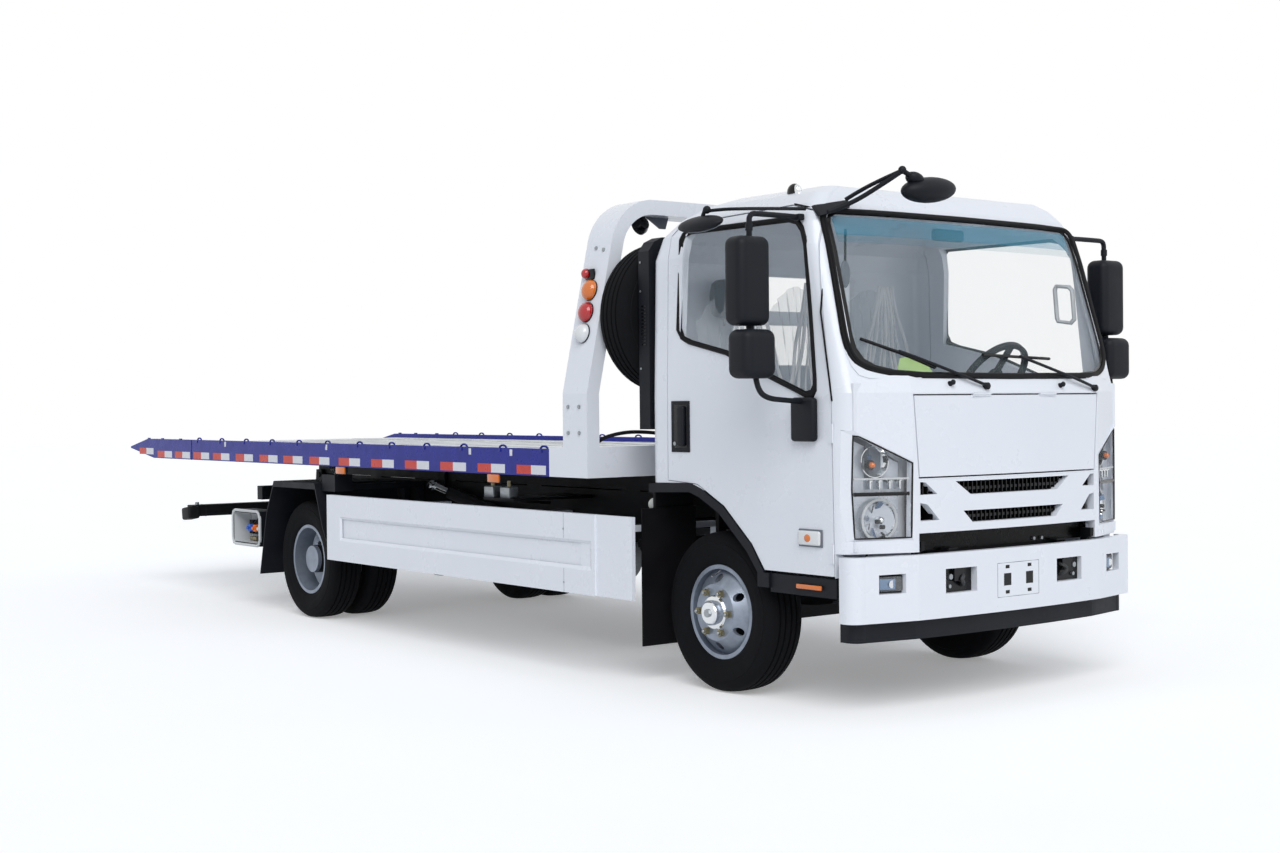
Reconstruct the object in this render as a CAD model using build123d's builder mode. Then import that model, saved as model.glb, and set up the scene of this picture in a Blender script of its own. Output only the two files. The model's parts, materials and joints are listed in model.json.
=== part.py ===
"""Flatbed tow truck: forward-control cab, sliding tilt bed, rear underlift.

Millimetres. Front of the truck faces -Y, +X is its left side, +Z is up.
The origin is on the ground below the middle of the overall length and width.
"""

import os
from math import cos, hypot, radians, sin, sqrt

from build123d import *

os.makedirs("parts", exist_ok=True)

# Chassis layout
FRONT_AXLE_Y = -3000.0
WHEELBASE = 4175.0
REAR_AXLE_Y = FRONT_AXLE_Y + WHEELBASE
RAIL_HALF_WIDTH = 425.0
RAIL_BOTTOM = 560.0
RAIL_HEIGHT = 190.0
RAIL_TOP = RAIL_BOTTOM + RAIL_HEIGHT
RAIL_FLANGE = 65.0
RAIL_WALL = 8.0
RAIL_FRONT_Y = -4050.0
RAIL_REAR_Y = 2280.0
SUBRAIL_FRONT_Y = -1880.0
SUBRAIL_REAR_Y = 2130.0
SUBRAIL_TOP = 934.0
SUBRAIL_INNER = 340.0
SUBRAIL_WIDTH = 80.0
CROSSMEMBER_LENGTH = 90.0

# Clearances
SEAT_GAP = 0.3
PIN_FIT = 0.08
PANEL_GAP = 7.0
GLASS_GAP = 0.4

# Wheels and tyres
TYRE_RADIUS = 400.0
TYRE_WIDTH = 233.0
BEAD_RADIUS = 222.0
RIM_FLANGE_RADIUS = 235.0
RIM_WIDTH = 171.0
RIM_WALL = 7.0
FRONT_TYRE_X = 840.0
REAR_TYRE_X = 965.0
DUAL_SPACING = 280.0
KINGPIN_X = 720.0
KINGPIN_RADIUS = 20.0
SPINDLE_RADIUS = 32.0
AXLE_TUBE_RADIUS = 62.0

# Cab
CAB_HALF_WIDTH = 998.0
CAB_REAR_Y = -2526.0
CAB_WALL = 40.0
CAB_BOTTOM = 635.0
CAB_BELT = 1478.0
ROOF_START = 2170.0
ROOF_RISE = 300.0
ROOF_INSET = 270.0
ARCH_TOP = 1039.0
NOSE_BOTTOM = 745.0
GRILLE_BOTTOM = 830.0
TUNNEL_HALF_WIDTH = 470.0
TUNNEL_TOP = ARCH_TOP
TUNNEL_FRONT_Y = -3990.0
CAB_PIVOT_Y = -4048.0
CAB_PIVOT_Z = 775.0
CAB_PIN_RADIUS = 10.0
CAB_HORN_X = 628.0
CAB_POST_X = 560.0
DOOR_HINGE_X = 1003.0
DOOR_HINGE_Y = -3877.5
DOOR_HINGE_RADIUS = 4.6
LID_HINGE_Y = -4100.0
LID_HINGE_Z = 1468.0
LID_HINGE_RADIUS = 4.2
DOOR_REAR_Y = -2673.0
DOOR_FRONT_Y = -3881.0
GLASS_INSET = 8.0
GLASS_WALL = 7.0

# Bumper
BUMPER_HALF_WIDTH = 1017.0
BUMPER_BOTTOM = 434.0
BUMPER_TOP = 734.0
BUMPER_WALL = 40.0
VALANCE_BOTTOM = 343.0

# Bed and tilt frame
BED_HALF_WIDTH = 1149.0
BED_FRONT_Y = -2188.0
BED_BOTTOM = 1048.0
RAIL_CAP = 1198.0
DECK_TOP = 1165.0
DECK_WALL = 8.0
SIDE_RAIL_WIDTH = 55.0
SIDE_RAIL_FRONT_Y = -1836.0
TAIL_JOINT_Y = 2902.0
TAIL_TOP_Y = 3756.0
TAIL_TIP_Y = 4110.0
TAIL_TIP_Z = 1133.0
TAIL_BOTTOM_Y = 3634.0
TAIL_TIP_THICKNESS = 12.0
RUNNER_INNER = 345.0
RUNNER_WIDTH = 70.0
TILT_FRAME_BOTTOM = 941.0
TILT_FRAME_TOP = 1042.0
TILT_FRAME_FRONT_Y = -1860.0
TILT_FRAME_REAR_Y = 2250.0
TILT_PIVOT_Y = 2200.0
TILT_PIVOT_Z = 930.0
TILT_PIN_RADIUS = 22.0

# Tilt cylinders beside the rails. The eye's place is on the tilt frame at rest
CYLINDER_X = 495.0
CYLINDER_INNER = 448.0
CYLINDER_PIN_Y = -900.0
CYLINDER_PIN_Z = 640.0
CYLINDER_EYE_Y = 450.0
CYLINDER_EYE_Z = 905.0
CYLINDER_PIN_RADIUS = 18.0
BARREL_RADIUS = 42.0
ROD_RADIUS = 25.0
BARREL_LENGTH = 1160.0

# Gantry behind the cab
GANTRY_SECTION = 80.0
GANTRY_DEPTH = 220.0
GANTRY_KINK_Z = 1494.0
GANTRY_LEAN = 150.0
GANTRY_TOP = 2540.0
GANTRY_CORNER = 290.0

# Underlift
LIFT_PIVOT_Y = 1800.0
LIFT_PIVOT_Z = 680.0
LIFT_PIN_RADIUS = 25.0
BOOM_WIDTH = 190.0
BOOM_HEIGHT = 150.0
BOOM_CENTRE_Z = 640.0
BOOM_WALL = 10.0
BOOM_FRONT_Y = 1720.0
BOOM_REAR_Y = 2980.0
CROSSBAR_Y = 3250.0
CROSSBAR_HALF = 1020.0
CROSSBAR_DEPTH = 90.0
CROSSBAR_HEIGHT = 88.0


def finish(part, name):
    """Label a finished piece and write its STEP file."""
    part.label = name
    export_step(part, f"parts/{name}.step")


def block(x0, x1, y0, y1, z0, z1, mode=Mode.ADD):
    """A box between two corners, in the current part."""
    with Locations(((x0 + x1) / 2, (y0 + y1) / 2, (z0 + z1) / 2)):
        Box(abs(x1 - x0), abs(y1 - y0), abs(z1 - z0), mode=mode)


def pair(x0, x1, y0, y1, z0, z1, mode=Mode.ADD):
    """The same box on both sides of the truck."""
    for side in (1, -1):
        block(side * x0, side * x1, y0, y1, z0, z1, mode)


def cross_pin(x0, x1, y, z, radius, mode=Mode.ADD):
    """A round bar or bore along X."""
    with Locations(Location(((x0 + x1) / 2, y, z), (0, 90, 0))):
        Cylinder(radius, abs(x1 - x0), mode=mode)


def side_outline(points, x0, x1, mode=Mode.ADD):
    """A closed outline of (y, z) points, extruded from x0 to x1."""
    low, high = min(x0, x1), max(x0, x1)
    with BuildSketch(Plane.YZ.offset(low)) as outline:
        with BuildLine():
            Polyline(*points, close=True)
        make_face()
    extrude(outline.sketch, amount=high - low, mode=mode)


def front_outline(points, y0, y1, mode=Mode.ADD):
    """A closed outline of (x, z) points, extruded from y0 back to y1."""
    with BuildSketch(Plane.XZ.offset(-y0)) as outline:
        with BuildLine():
            Polyline(*points, close=True)
        make_face()
    extrude(outline.sketch, amount=y0 - y1, mode=mode)


# Chassis frame
CROSSMEMBERS_Y = (-3950.0, -2450.0, -1500.0, -500.0, 500.0, 1560.0)
with BuildPart() as chassis_frame:
    for side in (1, -1):
        outer = side * RAIL_HALF_WIDTH
        web = side * (RAIL_HALF_WIDTH - RAIL_WALL)
        inner = side * (RAIL_HALF_WIDTH - RAIL_FLANGE)
        block(web, outer, RAIL_FRONT_Y, RAIL_REAR_Y, RAIL_BOTTOM, RAIL_TOP)
        block(inner, web, RAIL_FRONT_Y, RAIL_REAR_Y, RAIL_BOTTOM, RAIL_BOTTOM + RAIL_WALL)
        block(inner, web, RAIL_FRONT_Y, RAIL_REAR_Y, RAIL_TOP - RAIL_WALL, RAIL_TOP)
        block(side * SUBRAIL_INNER, side * (SUBRAIL_INNER + SUBRAIL_WIDTH),
              SUBRAIL_FRONT_Y, SUBRAIL_REAR_Y, RAIL_TOP, SUBRAIL_TOP)
        for y in (-1700.0, -700.0, 300.0, 1300.0):
            block(side * SUBRAIL_INNER, side * (SUBRAIL_INNER + SUBRAIL_WIDTH),
                  y, y + 160, SUBRAIL_TOP, TILT_FRAME_BOTTOM - SEAT_GAP)
        lug_inner = side * (SUBRAIL_INNER + SUBRAIL_WIDTH + 1)
        side_outline([(TILT_PIVOT_Y - 75, RAIL_TOP - 60), (TILT_PIVOT_Y + 75, RAIL_TOP - 60),
                      (TILT_PIVOT_Y + 40, TILT_PIVOT_Z + 40), (TILT_PIVOT_Y - 40, TILT_PIVOT_Z + 40)],
                     lug_inner, side * (RAIL_HALF_WIDTH + 22))
        cross_pin(side * (SUBRAIL_INNER + 2), side * (RAIL_HALF_WIDTH + 30),
                  TILT_PIVOT_Y, TILT_PIVOT_Z, TILT_PIN_RADIUS)
    for y in CROSSMEMBERS_Y:
        block(-(RAIL_HALF_WIDTH - RAIL_WALL), RAIL_HALF_WIDTH - RAIL_WALL,
              y - CROSSMEMBER_LENGTH / 2, y + CROSSMEMBER_LENGTH / 2, RAIL_TOP - 100, RAIL_TOP - RAIL_WALL)
    block(-(RAIL_HALF_WIDTH - RAIL_WALL), RAIL_HALF_WIDTH - RAIL_WALL, RAIL_REAR_Y - CROSSMEMBER_LENGTH,
          RAIL_REAR_Y, BOOM_CENTRE_Z + BOOM_HEIGHT / 2 + PANEL_GAP, RAIL_TOP)
    for side in (1, -1):
        block(side * (BOOM_WIDTH / 2 + 6), side * (BOOM_WIDTH / 2 + 30), CROSSMEMBERS_Y[-1], LIFT_PIVOT_Y + 45,
              LIFT_PIVOT_Z - 45, LIFT_PIVOT_Z + 38)
        block(side * (RAIL_HALF_WIDTH - 1), side * CYLINDER_INNER, CYLINDER_PIN_Y - 40, CYLINDER_PIN_Y + 40,
              CYLINDER_PIN_Z - 40, CYLINDER_PIN_Z + 60)
        cross_pin(side * (RAIL_HALF_WIDTH - 1), side * (CYLINDER_X + 52), CYLINDER_PIN_Y, CYLINDER_PIN_Z,
                  CYLINDER_PIN_RADIUS)
    cross_pin(-(BOOM_WIDTH / 2 + 35), BOOM_WIDTH / 2 + 35, LIFT_PIVOT_Y, LIFT_PIVOT_Z, LIFT_PIN_RADIUS)
    # Cab pivot horns at the front and the posts that the cab's rear rests on
    for side in (1, -1):
        block(side * (RAIL_HALF_WIDTH - 1), side * CAB_HORN_X, CAB_PIVOT_Y + 8, CAB_PIVOT_Y + 46,
              RAIL_TOP - 60, RAIL_TOP - 22)
        side_outline([(CAB_PIVOT_Y + 8, RAIL_TOP - 60), (CAB_PIVOT_Y + 46, RAIL_TOP - 60),
                      (CAB_PIVOT_Y + 46, CAB_PIVOT_Z + 17), (CAB_PIVOT_Y - 18, CAB_PIVOT_Z + 17),
                      (CAB_PIVOT_Y - 18, CAB_PIVOT_Z - 23), (CAB_PIVOT_Y + 8, CAB_PIVOT_Z - 35)],
                     side * (CAB_HORN_X - 24), side * CAB_HORN_X)
        cross_pin(side * (CAB_HORN_X - 24), side * (CAB_HORN_X + 34), CAB_PIVOT_Y, CAB_PIVOT_Z, CAB_PIN_RADIUS)
        block(side * (RAIL_HALF_WIDTH - 1), side * CAB_POST_X, CAB_REAR_Y - 32, CAB_REAR_Y - 4,
              RAIL_TOP - 50, RAIL_TOP - 5)
        block(side * (CAB_POST_X - 50), side * CAB_POST_X, CAB_REAR_Y - 32, CAB_REAR_Y - 4,
              RAIL_TOP - 6, ARCH_TOP - 7.2)
finish(chassis_frame.part, "chassis_frame")

# Engine and gearbox as one plain block between the rails
ENGINE_HALF_WIDTH = 290.0
with BuildPart() as engine_block:
    block(-ENGINE_HALF_WIDTH, ENGINE_HALF_WIDTH, -3620, -2760, 480, 960)
    block(-180, 180, -2760, -2520, 520, 800)
    pair(ENGINE_HALF_WIDTH, RAIL_HALF_WIDTH - RAIL_WALL - SEAT_GAP, -3300, -3180, 640, 700)
finish(engine_block.part, "engine_block")

# Front axle beam with its leaf springs
SPRING_X = 392.0
SPRING_WIDTH = 66.0
AXLE_BEAM_TOP = 400.0
AXLE_BEAM_HEIGHT = 70.0
KINGPIN_EYE_HALF = 38.0


def leaf_spring(side, axle_y, half_length, seat_z, eye_z, leaf, leaves):
    """A pack of curved leaves that rests on the axle and hangs from the rail."""
    sag = eye_z - seat_z
    for index in range(leaves):
        reach = half_length * (1 - 0.17 * index)
        low = seat_z + leaf * (leaves - 1 - index)
        rise = sag * (reach / half_length) ** 2
        with BuildSketch(Plane.YZ.offset(side * SPRING_X - SPRING_WIDTH / 2)) as leaf_shape:
            with BuildLine():
                ThreePointArc((axle_y - reach, low + rise), (axle_y, low), (axle_y + reach, low + rise))
                Line((axle_y + reach, low + rise), (axle_y + reach, low + rise + leaf))
                ThreePointArc((axle_y + reach, low + rise + leaf), (axle_y, low + leaf),
                              (axle_y - reach, low + rise + leaf))
                Line((axle_y - reach, low + rise + leaf), (axle_y - reach, low + rise))
            make_face()
        extrude(leaf_shape.sketch, amount=SPRING_WIDTH)


with BuildPart() as front_axle:
    beam_low = AXLE_BEAM_TOP - AXLE_BEAM_HEIGHT
    block(-KINGPIN_X + 110, KINGPIN_X - 110, FRONT_AXLE_Y - 40, FRONT_AXLE_Y + 40, beam_low, AXLE_BEAM_TOP)
    for side in (1, -1):
        block(side * (KINGPIN_X - 110), side * (KINGPIN_X - 20), FRONT_AXLE_Y - 32, FRONT_AXLE_Y + 32,
              TYRE_RADIUS - KINGPIN_EYE_HALF, TYRE_RADIUS + KINGPIN_EYE_HALF)
        with Locations((side * KINGPIN_X, FRONT_AXLE_Y, TYRE_RADIUS)):
            Cylinder(32, 2 * KINGPIN_EYE_HALF)
            Cylinder(KINGPIN_RADIUS, 200)
        leaf_spring(side, FRONT_AXLE_Y, 560, AXLE_BEAM_TOP, 505, 11, 4)
        for end in (-1, 1):
            block(side * (SPRING_X - 30), side * (SPRING_X + 30),
                  FRONT_AXLE_Y + end * 545 - 22, FRONT_AXLE_Y + end * 545 + 22, 520, RAIL_BOTTOM - SEAT_GAP)
finish(front_axle.part, "front_axle")

# Rear axle tube, differential, hubs' ends and leaf springs
REAR_SPRING_SEAT = TYRE_RADIUS + AXLE_TUBE_RADIUS - 6
AXLE_END_X = 1000.0
with BuildPart() as rear_axle:
    cross_pin(-700, 700, REAR_AXLE_Y, TYRE_RADIUS, AXLE_TUBE_RADIUS)
    cross_pin(-AXLE_END_X, AXLE_END_X, REAR_AXLE_Y, TYRE_RADIUS, SPINDLE_RADIUS)
    with Locations((0, REAR_AXLE_Y, TYRE_RADIUS)):
        Sphere(185)
    with Locations(Location((0, REAR_AXLE_Y - 150, TYRE_RADIUS), (90, 0, 0))):
        Cone(90, 55, 160)
    for side in (1, -1):
        leaf_spring(side, REAR_AXLE_Y, 620, REAR_SPRING_SEAT, 505, 11, 3)
        for end in (-1, 1):
            block(side * (SPRING_X - 30), side * (SPRING_X + 30),
                  REAR_AXLE_Y + end * 600 - 22, REAR_AXLE_Y + end * 600 + 22, 515, RAIL_BOTTOM - SEAT_GAP)
finish(rear_axle.part, "rear_axle")

# Propeller shaft from the gearbox to the differential, with its centre bearing
SHAFT_FRONT_Y = -2520.0 + 1 + SEAT_GAP
SHAFT_REAR_Y = REAR_AXLE_Y - 230 - 4.2 - SEAT_GAP
SHAFT_MID_Y = -700.0
with BuildPart() as propeller_shaft:
    for y0, z0, y1, z1 in ((SHAFT_FRONT_Y, 600, SHAFT_MID_Y, 560), (SHAFT_MID_Y, 560, SHAFT_REAR_Y, 400)):
        run = hypot(y1 - y0, z1 - z0)
        start = Plane(origin=(0, y0, z0), x_dir=(1, 0, 0), z_dir=(0, y1 - y0, z1 - z0))
        with BuildSketch(start):
            Circle(42)
        extrude(amount=run)
    with Locations((0, SHAFT_MID_Y, 560)):
        Sphere(62)
    block(-30, 30, SHAFT_MID_Y - 25, SHAFT_MID_Y + 25, 600, 660)
    block(-(RAIL_HALF_WIDTH - RAIL_WALL - SEAT_GAP), RAIL_HALF_WIDTH - RAIL_WALL - SEAT_GAP,
          SHAFT_MID_Y - 25, SHAFT_MID_Y + 25, 655, 700)
finish(propeller_shaft.part, "propeller_shaft")

# Fuel tank and silencer, hung on the outside of the rails
TANK_FRONT_Y = -2000.0
TANK_LENGTH = 900.0
with BuildPart() as fuel_tank:
    block(RAIL_HALF_WIDTH + 40, RAIL_HALF_WIDTH + 520, TANK_FRONT_Y, TANK_FRONT_Y + TANK_LENGTH, 400, 760)
    fillet(fuel_tank.edges().filter_by(Axis.Y), 60)
    for y in (TANK_FRONT_Y + 180, TANK_FRONT_Y + TANK_LENGTH - 240):
        block(RAIL_HALF_WIDTH + SEAT_GAP, RAIL_HALF_WIDTH + 60, y, y + 60, 460, 740)
    with Locations(Location((RAIL_HALF_WIDTH + 500, TANK_FRONT_Y + 130, 660), (0, 90, 0))):
        Cylinder(45, 90)
finish(fuel_tank.part, "fuel_tank")

with BuildPart() as silencer:
    with Locations(Location((-(RAIL_HALF_WIDTH + 200), -1450, 560), (90, 0, 0))):
        Cylinder(115, 760)
    with Locations(Location((-(RAIL_HALF_WIDTH + 200), -900, 560), (90, 0, 0))):
        Cylinder(38, 400)
    block(-(RAIL_HALF_WIDTH + 200), -(RAIL_HALF_WIDTH + SEAT_GAP), -1700, -1660, 600, 640)
    block(-(RAIL_HALF_WIDTH + 200), -(RAIL_HALF_WIDTH + SEAT_GAP), -1240, -1200, 600, 640)
finish(silencer.part, "silencer")


# Bumper, curved in plan, with tow-eye and fog-lamp openings
def bow(half_width, side_y, corner_x, corner_y, shoulder_x, shoulder_y, nose_y):
    """Half of a cab-width curve in plan, from the side round to the nose."""
    drop = shoulder_y - nose_y
    radius = (shoulder_x ** 2 + drop ** 2) / (2 * drop)
    middle = nose_y + radius - sqrt(radius ** 2 - (shoulder_x / 2) ** 2)
    TangentArc((half_width, side_y), (corner_x, corner_y), tangent=(0, -1))
    Line((corner_x, corner_y), (shoulder_x, shoulder_y))
    ThreePointArc((shoulder_x, shoulder_y), (shoulder_x / 2, middle), (0, nose_y))


def bumper_band(inset, depth):
    """The outline of the bumper in plan, moved in by inset and carried back to depth."""
    half = BUMPER_HALF_WIDTH - inset
    bow(half, -3950 + inset / 2, 945 - 0.8 * inset, -4020 + 0.8 * inset, 660 - 0.4 * inset,
        -4082 + inset, -4110 + inset)
    Line((half, -3950 + inset / 2), (half, depth))
    Line((half, depth), (0, depth))
    mirror(about=Plane.YZ)


BUMPER_REAR_Y = -3926.0
TOW_OPENING = (291.0, 495.0, 546.0, 660.0)
FOG_OPENING = (730.0, 873.0, 564.0, 652.0)
with BuildPart() as bumper:
    with BuildSketch(Plane.XY.offset(BUMPER_BOTTOM)):
        with BuildLine():
            bumper_band(0, BUMPER_REAR_Y)
        make_face()
        with BuildLine():
            bumper_band(BUMPER_WALL, BUMPER_REAR_Y + 1)
        make_face(mode=Mode.SUBTRACT)
    extrude(amount=BUMPER_TOP - BUMPER_BOTTOM)
    for x0, x1, z0, z1 in (TOW_OPENING, FOG_OPENING):
        pair(x0, x1, -4120, BUMPER_REAR_Y - 20, z0, z1, Mode.SUBTRACT)
    pair(RAIL_HALF_WIDTH - RAIL_FLANGE, RAIL_HALF_WIDTH, -4085, RAIL_FRONT_Y - SEAT_GAP, 600, 700)
finish(bumper.part, "bumper")

VALANCE_INSET = BUMPER_WALL + 0.5
VALANCE_REAR_Y = -3890.0
with BuildPart() as valance:
    with BuildSketch(Plane.XY.offset(VALANCE_BOTTOM)):
        with BuildLine():
            bumper_band(VALANCE_INSET, VALANCE_REAR_Y)
        make_face()
        with BuildLine():
            bumper_band(VALANCE_INSET + 12, VALANCE_REAR_Y + 1)
        make_face(mode=Mode.SUBTRACT)
    extrude(amount=BUMPER_BOTTOM + 60 - VALANCE_BOTTOM)
finish(valance.part, "valance")

# Rear fenders: angular shells over the twin wheels, on stays from the rails
FENDER_TOP = 930.0
FENDER_OUTER_X = 1172.0
FENDER_INNER_X = 560.0
FENDER_WALL = 8.0
FENDER_OUTLINE = ((644, 448), (758, 655), (864, FENDER_TOP), (1470, FENDER_TOP), (1590, 700), (1700, 270))
with BuildPart() as rear_fenders:
    for side in (1, -1):
        inside = [(y + (-FENDER_WALL if y > 1175 else FENDER_WALL), z - (FENDER_WALL if z == FENDER_TOP else 0))
                  for y, z in FENDER_OUTLINE]
        side_outline(list(FENDER_OUTLINE) + inside[::-1], side * FENDER_INNER_X, side * FENDER_OUTER_X)
        side_outline([(864, FENDER_TOP), (1470, FENDER_TOP), (1490, 890), (849, 890)],
                     side * (FENDER_OUTER_X - FENDER_WALL), side * FENDER_OUTER_X)
        for y in (900.0, 1400.0):
            block(side * (RAIL_HALF_WIDTH - RAIL_FLANGE), side * FENDER_INNER_X + side * 200,
                  y, y + 50, FENDER_TOP - 58, FENDER_TOP - FENDER_WALL)
            block(side * (SUBRAIL_INNER + SUBRAIL_WIDTH + SEAT_GAP), side * (RAIL_HALF_WIDTH + 40),
                  y, y + 50, RAIL_TOP + SEAT_GAP, FENDER_TOP - FENDER_WALL)
            block(side * (SUBRAIL_INNER - 5), side * (SUBRAIL_INNER + SUBRAIL_WIDTH + SEAT_GAP),
                  y - 1, y + 51, RAIL_TOP, TILT_FRAME_BOTTOM, Mode.SUBTRACT)
finish(rear_fenders.part, "rear_fenders")

# Front mud flaps behind the steered wheels
FLAP_Y = CAB_REAR_Y - 10.0
FLAP_WALL = 8.0
with BuildPart() as mud_flaps:
    for side in (1, -1):
        block(side * 700, side * 1060, FLAP_Y, FLAP_Y + FLAP_WALL, 190, 900)
        block(side * (RAIL_HALF_WIDTH + SEAT_GAP), side * 1060, FLAP_Y + FLAP_WALL, FLAP_Y + FLAP_WALL + 28,
              700, 740)
finish(mud_flaps.part, "mud_flaps")

# Side skirts with a pressed recess, on arms from the rails
SKIRT_OUTER_X = 1192.0
SKIRT_THICKNESS = 22.0
SKIRT_BOTTOM = 442.0
SKIRT_TOP = 865.0
SKIRT_FRONT_Y = -2620.0
SKIRT_REAR_Y = 630.0
with BuildPart() as side_skirts:
    for side in (1, -1):
        side_outline([(SKIRT_FRONT_Y, SKIRT_TOP), (SKIRT_FRONT_Y, 520), (-2322, SKIRT_BOTTOM),
                      (SKIRT_REAR_Y, SKIRT_BOTTOM), (SKIRT_REAR_Y, SKIRT_TOP)],
                     side * (SKIRT_OUTER_X - SKIRT_THICKNESS), side * SKIRT_OUTER_X)
        block(side * (SKIRT_OUTER_X - 6), side * (SKIRT_OUTER_X + 1), -2180, 600, 550, 720, Mode.SUBTRACT)
        for y in (-2400.0, -1040.0, 350.0):
            block(side * (RAIL_HALF_WIDTH + SEAT_GAP), side * (SKIRT_OUTER_X - SKIRT_THICKNESS + 1),
                  y, y + 60, 770, 800)
            block(side * (RAIL_HALF_WIDTH + SEAT_GAP), side * (RAIL_HALF_WIDTH + 12), y, y + 60, 640, 800)
finish(side_skirts.part, "side_skirts")

# Hydraulic valve with levers, and the open control box behind the rear wheels
CONTROL_BOX = (960.0, 1120.0, 1800.0, 2250.0, 450.0, 700.0)
with BuildPart() as hydraulic_controls:
    x0, x1, y0, y1, z0, z1 = CONTROL_BOX
    for side in (1, -1):
        block(side * x0, side * x1, y0, y1, z0, z1)
        block(side * (x0 + 20), side * (x1 + 1), y0 + 20, y1 - 20, z0 + 20, z1 - 20, Mode.SUBTRACT)
        block(side * (RAIL_HALF_WIDTH + SEAT_GAP), side * (x0 + 1), y0 + 60, y0 + 110, 640, 690)
        for index in range(4):
            block(side * (x0 + 19), side * (x0 + 60), y0 + 60 + 90 * index, y0 + 115 + 90 * index, 520, 620)
    block(-(SKIRT_OUTER_X - 60), -(SKIRT_OUTER_X - 190), 640 + 10, 640 + 190, 880, 990)
    block(-(SKIRT_OUTER_X - 190) - 1, -(RAIL_HALF_WIDTH + SEAT_GAP), 700, 740, 700 + 185, 925)
    block(-(RAIL_HALF_WIDTH + 40), -(RAIL_HALF_WIDTH + SEAT_GAP), 700, 740, 700, 925)
finish(hydraulic_controls.part, "hydraulic_controls")

# Tail lamps on arms at the rear end of the frame
with BuildPart() as tail_lamps:
    for side in (1, -1):
        block(side * 560, side * 900, RAIL_REAR_Y - 60, RAIL_REAR_Y + 20, 760, 860)
        block(side * (RAIL_HALF_WIDTH + 22 + SEAT_GAP), side * 600, RAIL_REAR_Y - 60, RAIL_REAR_Y - 20, 690, 770)
        block(side * (RAIL_HALF_WIDTH + SEAT_GAP), side * 600, RAIL_REAR_Y - 60, RAIL_REAR_Y - 20, 640, 689)
        block(side * 560, side * 600, RAIL_REAR_Y - 60, RAIL_REAR_Y - 20, 640, 770)
finish(tail_lamps.part, "tail_lamps")


# Cab shell. Columns: height, half width, rear y, side front y, corner x, corner y,
# shoulder x, shoulder y, nose y
BELT_PLAN = (CAB_BELT, CAB_HALF_WIDTH, CAB_REAR_Y, -3860.0, 925.0, -3962.0, 675.0, -4062.0, -4098.0)
HEAD_PLAN = (2455.0, 978.0, -2530.0, -3610.0, 900.0, -3682.0, 650.0, -3708.0, -3718.0)
REAR_CORNER = 70.0
ROOF_ANGLES = (22.0, 42.0, 60.0, 78.0)
ROOF_REAR_FACTOR = 1.9
ROOF_FRONT_FACTOR = 0.4


def cab_plan(height, inset, roof_inset):
    """The cab's outline in plan at one height, moved in by the wall and by the roof's curve."""
    share = max(0.0, (height - CAB_BELT) / (HEAD_PLAN[0] - CAB_BELT))
    width, rear, side_y, cx, cy, sx, sy, nose = [
        low + share * (high - low) for low, high in zip(BELT_PLAN[1:], HEAD_PLAN[1:])]
    width -= inset + roof_inset
    rear -= inset + ROOF_REAR_FACTOR * roof_inset
    front = inset + ROOF_FRONT_FACTOR * roof_inset
    corner = REAR_CORNER - inset
    Line((0, rear), (width - corner, rear))
    TangentArc((width - corner, rear), (width, rear - corner), tangent=(1, 0))
    Line((width, rear - corner), (width, side_y + front / 2))
    bow(width, side_y + front / 2, cx - 0.8 * inset - roof_inset, cy + 0.7 * front,
        sx - 0.4 * inset - 0.7 * roof_inset, sy + front, nose + front)
    mirror(about=Plane.YZ)


def cab_block(inset):
    """The whole cab as a solid, moved in by inset, before its openings."""
    with BuildPart() as solid:
        levels = [(400.0, 0.0), (CAB_BELT, 0.0), (ROOF_START, 0.0)]
        for angle in ROOF_ANGLES:
            levels.append((ROOF_START + ROOF_RISE * sin(radians(angle)), ROOF_INSET * (1 - cos(radians(angle)))))
        for height, roof_inset in levels:
            lowered = inset * min(1.0, max(0.0, (height - ROOF_START) / 200.0))
            with BuildSketch(Plane.XY.offset(height - lowered)):
                with BuildLine():
                    cab_plan(height, inset, roof_inset)
                make_face()
        loft(ruled=True)
    return solid.part


def cab_silhouette(inset, mode=Mode.INTERSECT):
    """The cab seen from the side: wheel arch, door sill and nose, raised by inset."""
    top, wide = 2700.0, 1100.0
    slope = 0.7 * inset
    with BuildSketch(Plane.YZ.offset(-wide)) as profile:
        with BuildLine():
            Polyline((-2400, top), (-2400, 1029 + inset), (-2851 - 0.3 * slope, ARCH_TOP + inset))
            ThreePointArc((-2851 - 0.3 * slope, ARCH_TOP + inset), (-3110 - slope, 930 + slope),
                          (-3315 - slope, 755 + slope))
            Polyline((-3315 - slope, 755 + slope), (-3406 - inset, CAB_BOTTOM + inset),
                     (-3884, CAB_BOTTOM + inset), (-3884, NOSE_BOTTOM + inset),
                     (-4300, NOSE_BOTTOM + inset), (-4300, top), (-2400, top))
        make_face()
    extrude(profile.sketch, amount=2 * wide, mode=mode)


OUTER = cab_block(0)
INNER = cab_block(CAB_WALL)
DOOR_OUTLINE = ((DOOR_REAR_Y, 2290.0), (-2720.0, 2350.0), (-3540.0, 2372.0), (-3700.0, 2330.0),
                (-3736.0, 2252.0), (-3868.0, 1446.0), (DOOR_FRONT_Y, CAB_BOTTOM),
                (-3406.0, CAB_BOTTOM), (-3315.0, 755.0), (-3110.0, 930.0), (-2905.0, 1032.0),
                (DOOR_REAR_Y, 1046.0))
DOOR_WINDOW = ((-2799.0, 2300.0), (-3600.0, 2300.0), (-3690.0, 2204.0), (-3762.0, 1490.0), (-3720.0, 1462.0),
               (-3136.0, 1679.0), (-2775.0, 1762.0))
WINDSHIELD = ((-850.0, 2330.0), (850.0, 2330.0), (886.0, 2280.0), (912.0, 1600.0), (890.0, 1556.0),
              (-890.0, 1556.0), (-912.0, 1600.0), (-886.0, 2280.0))
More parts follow.
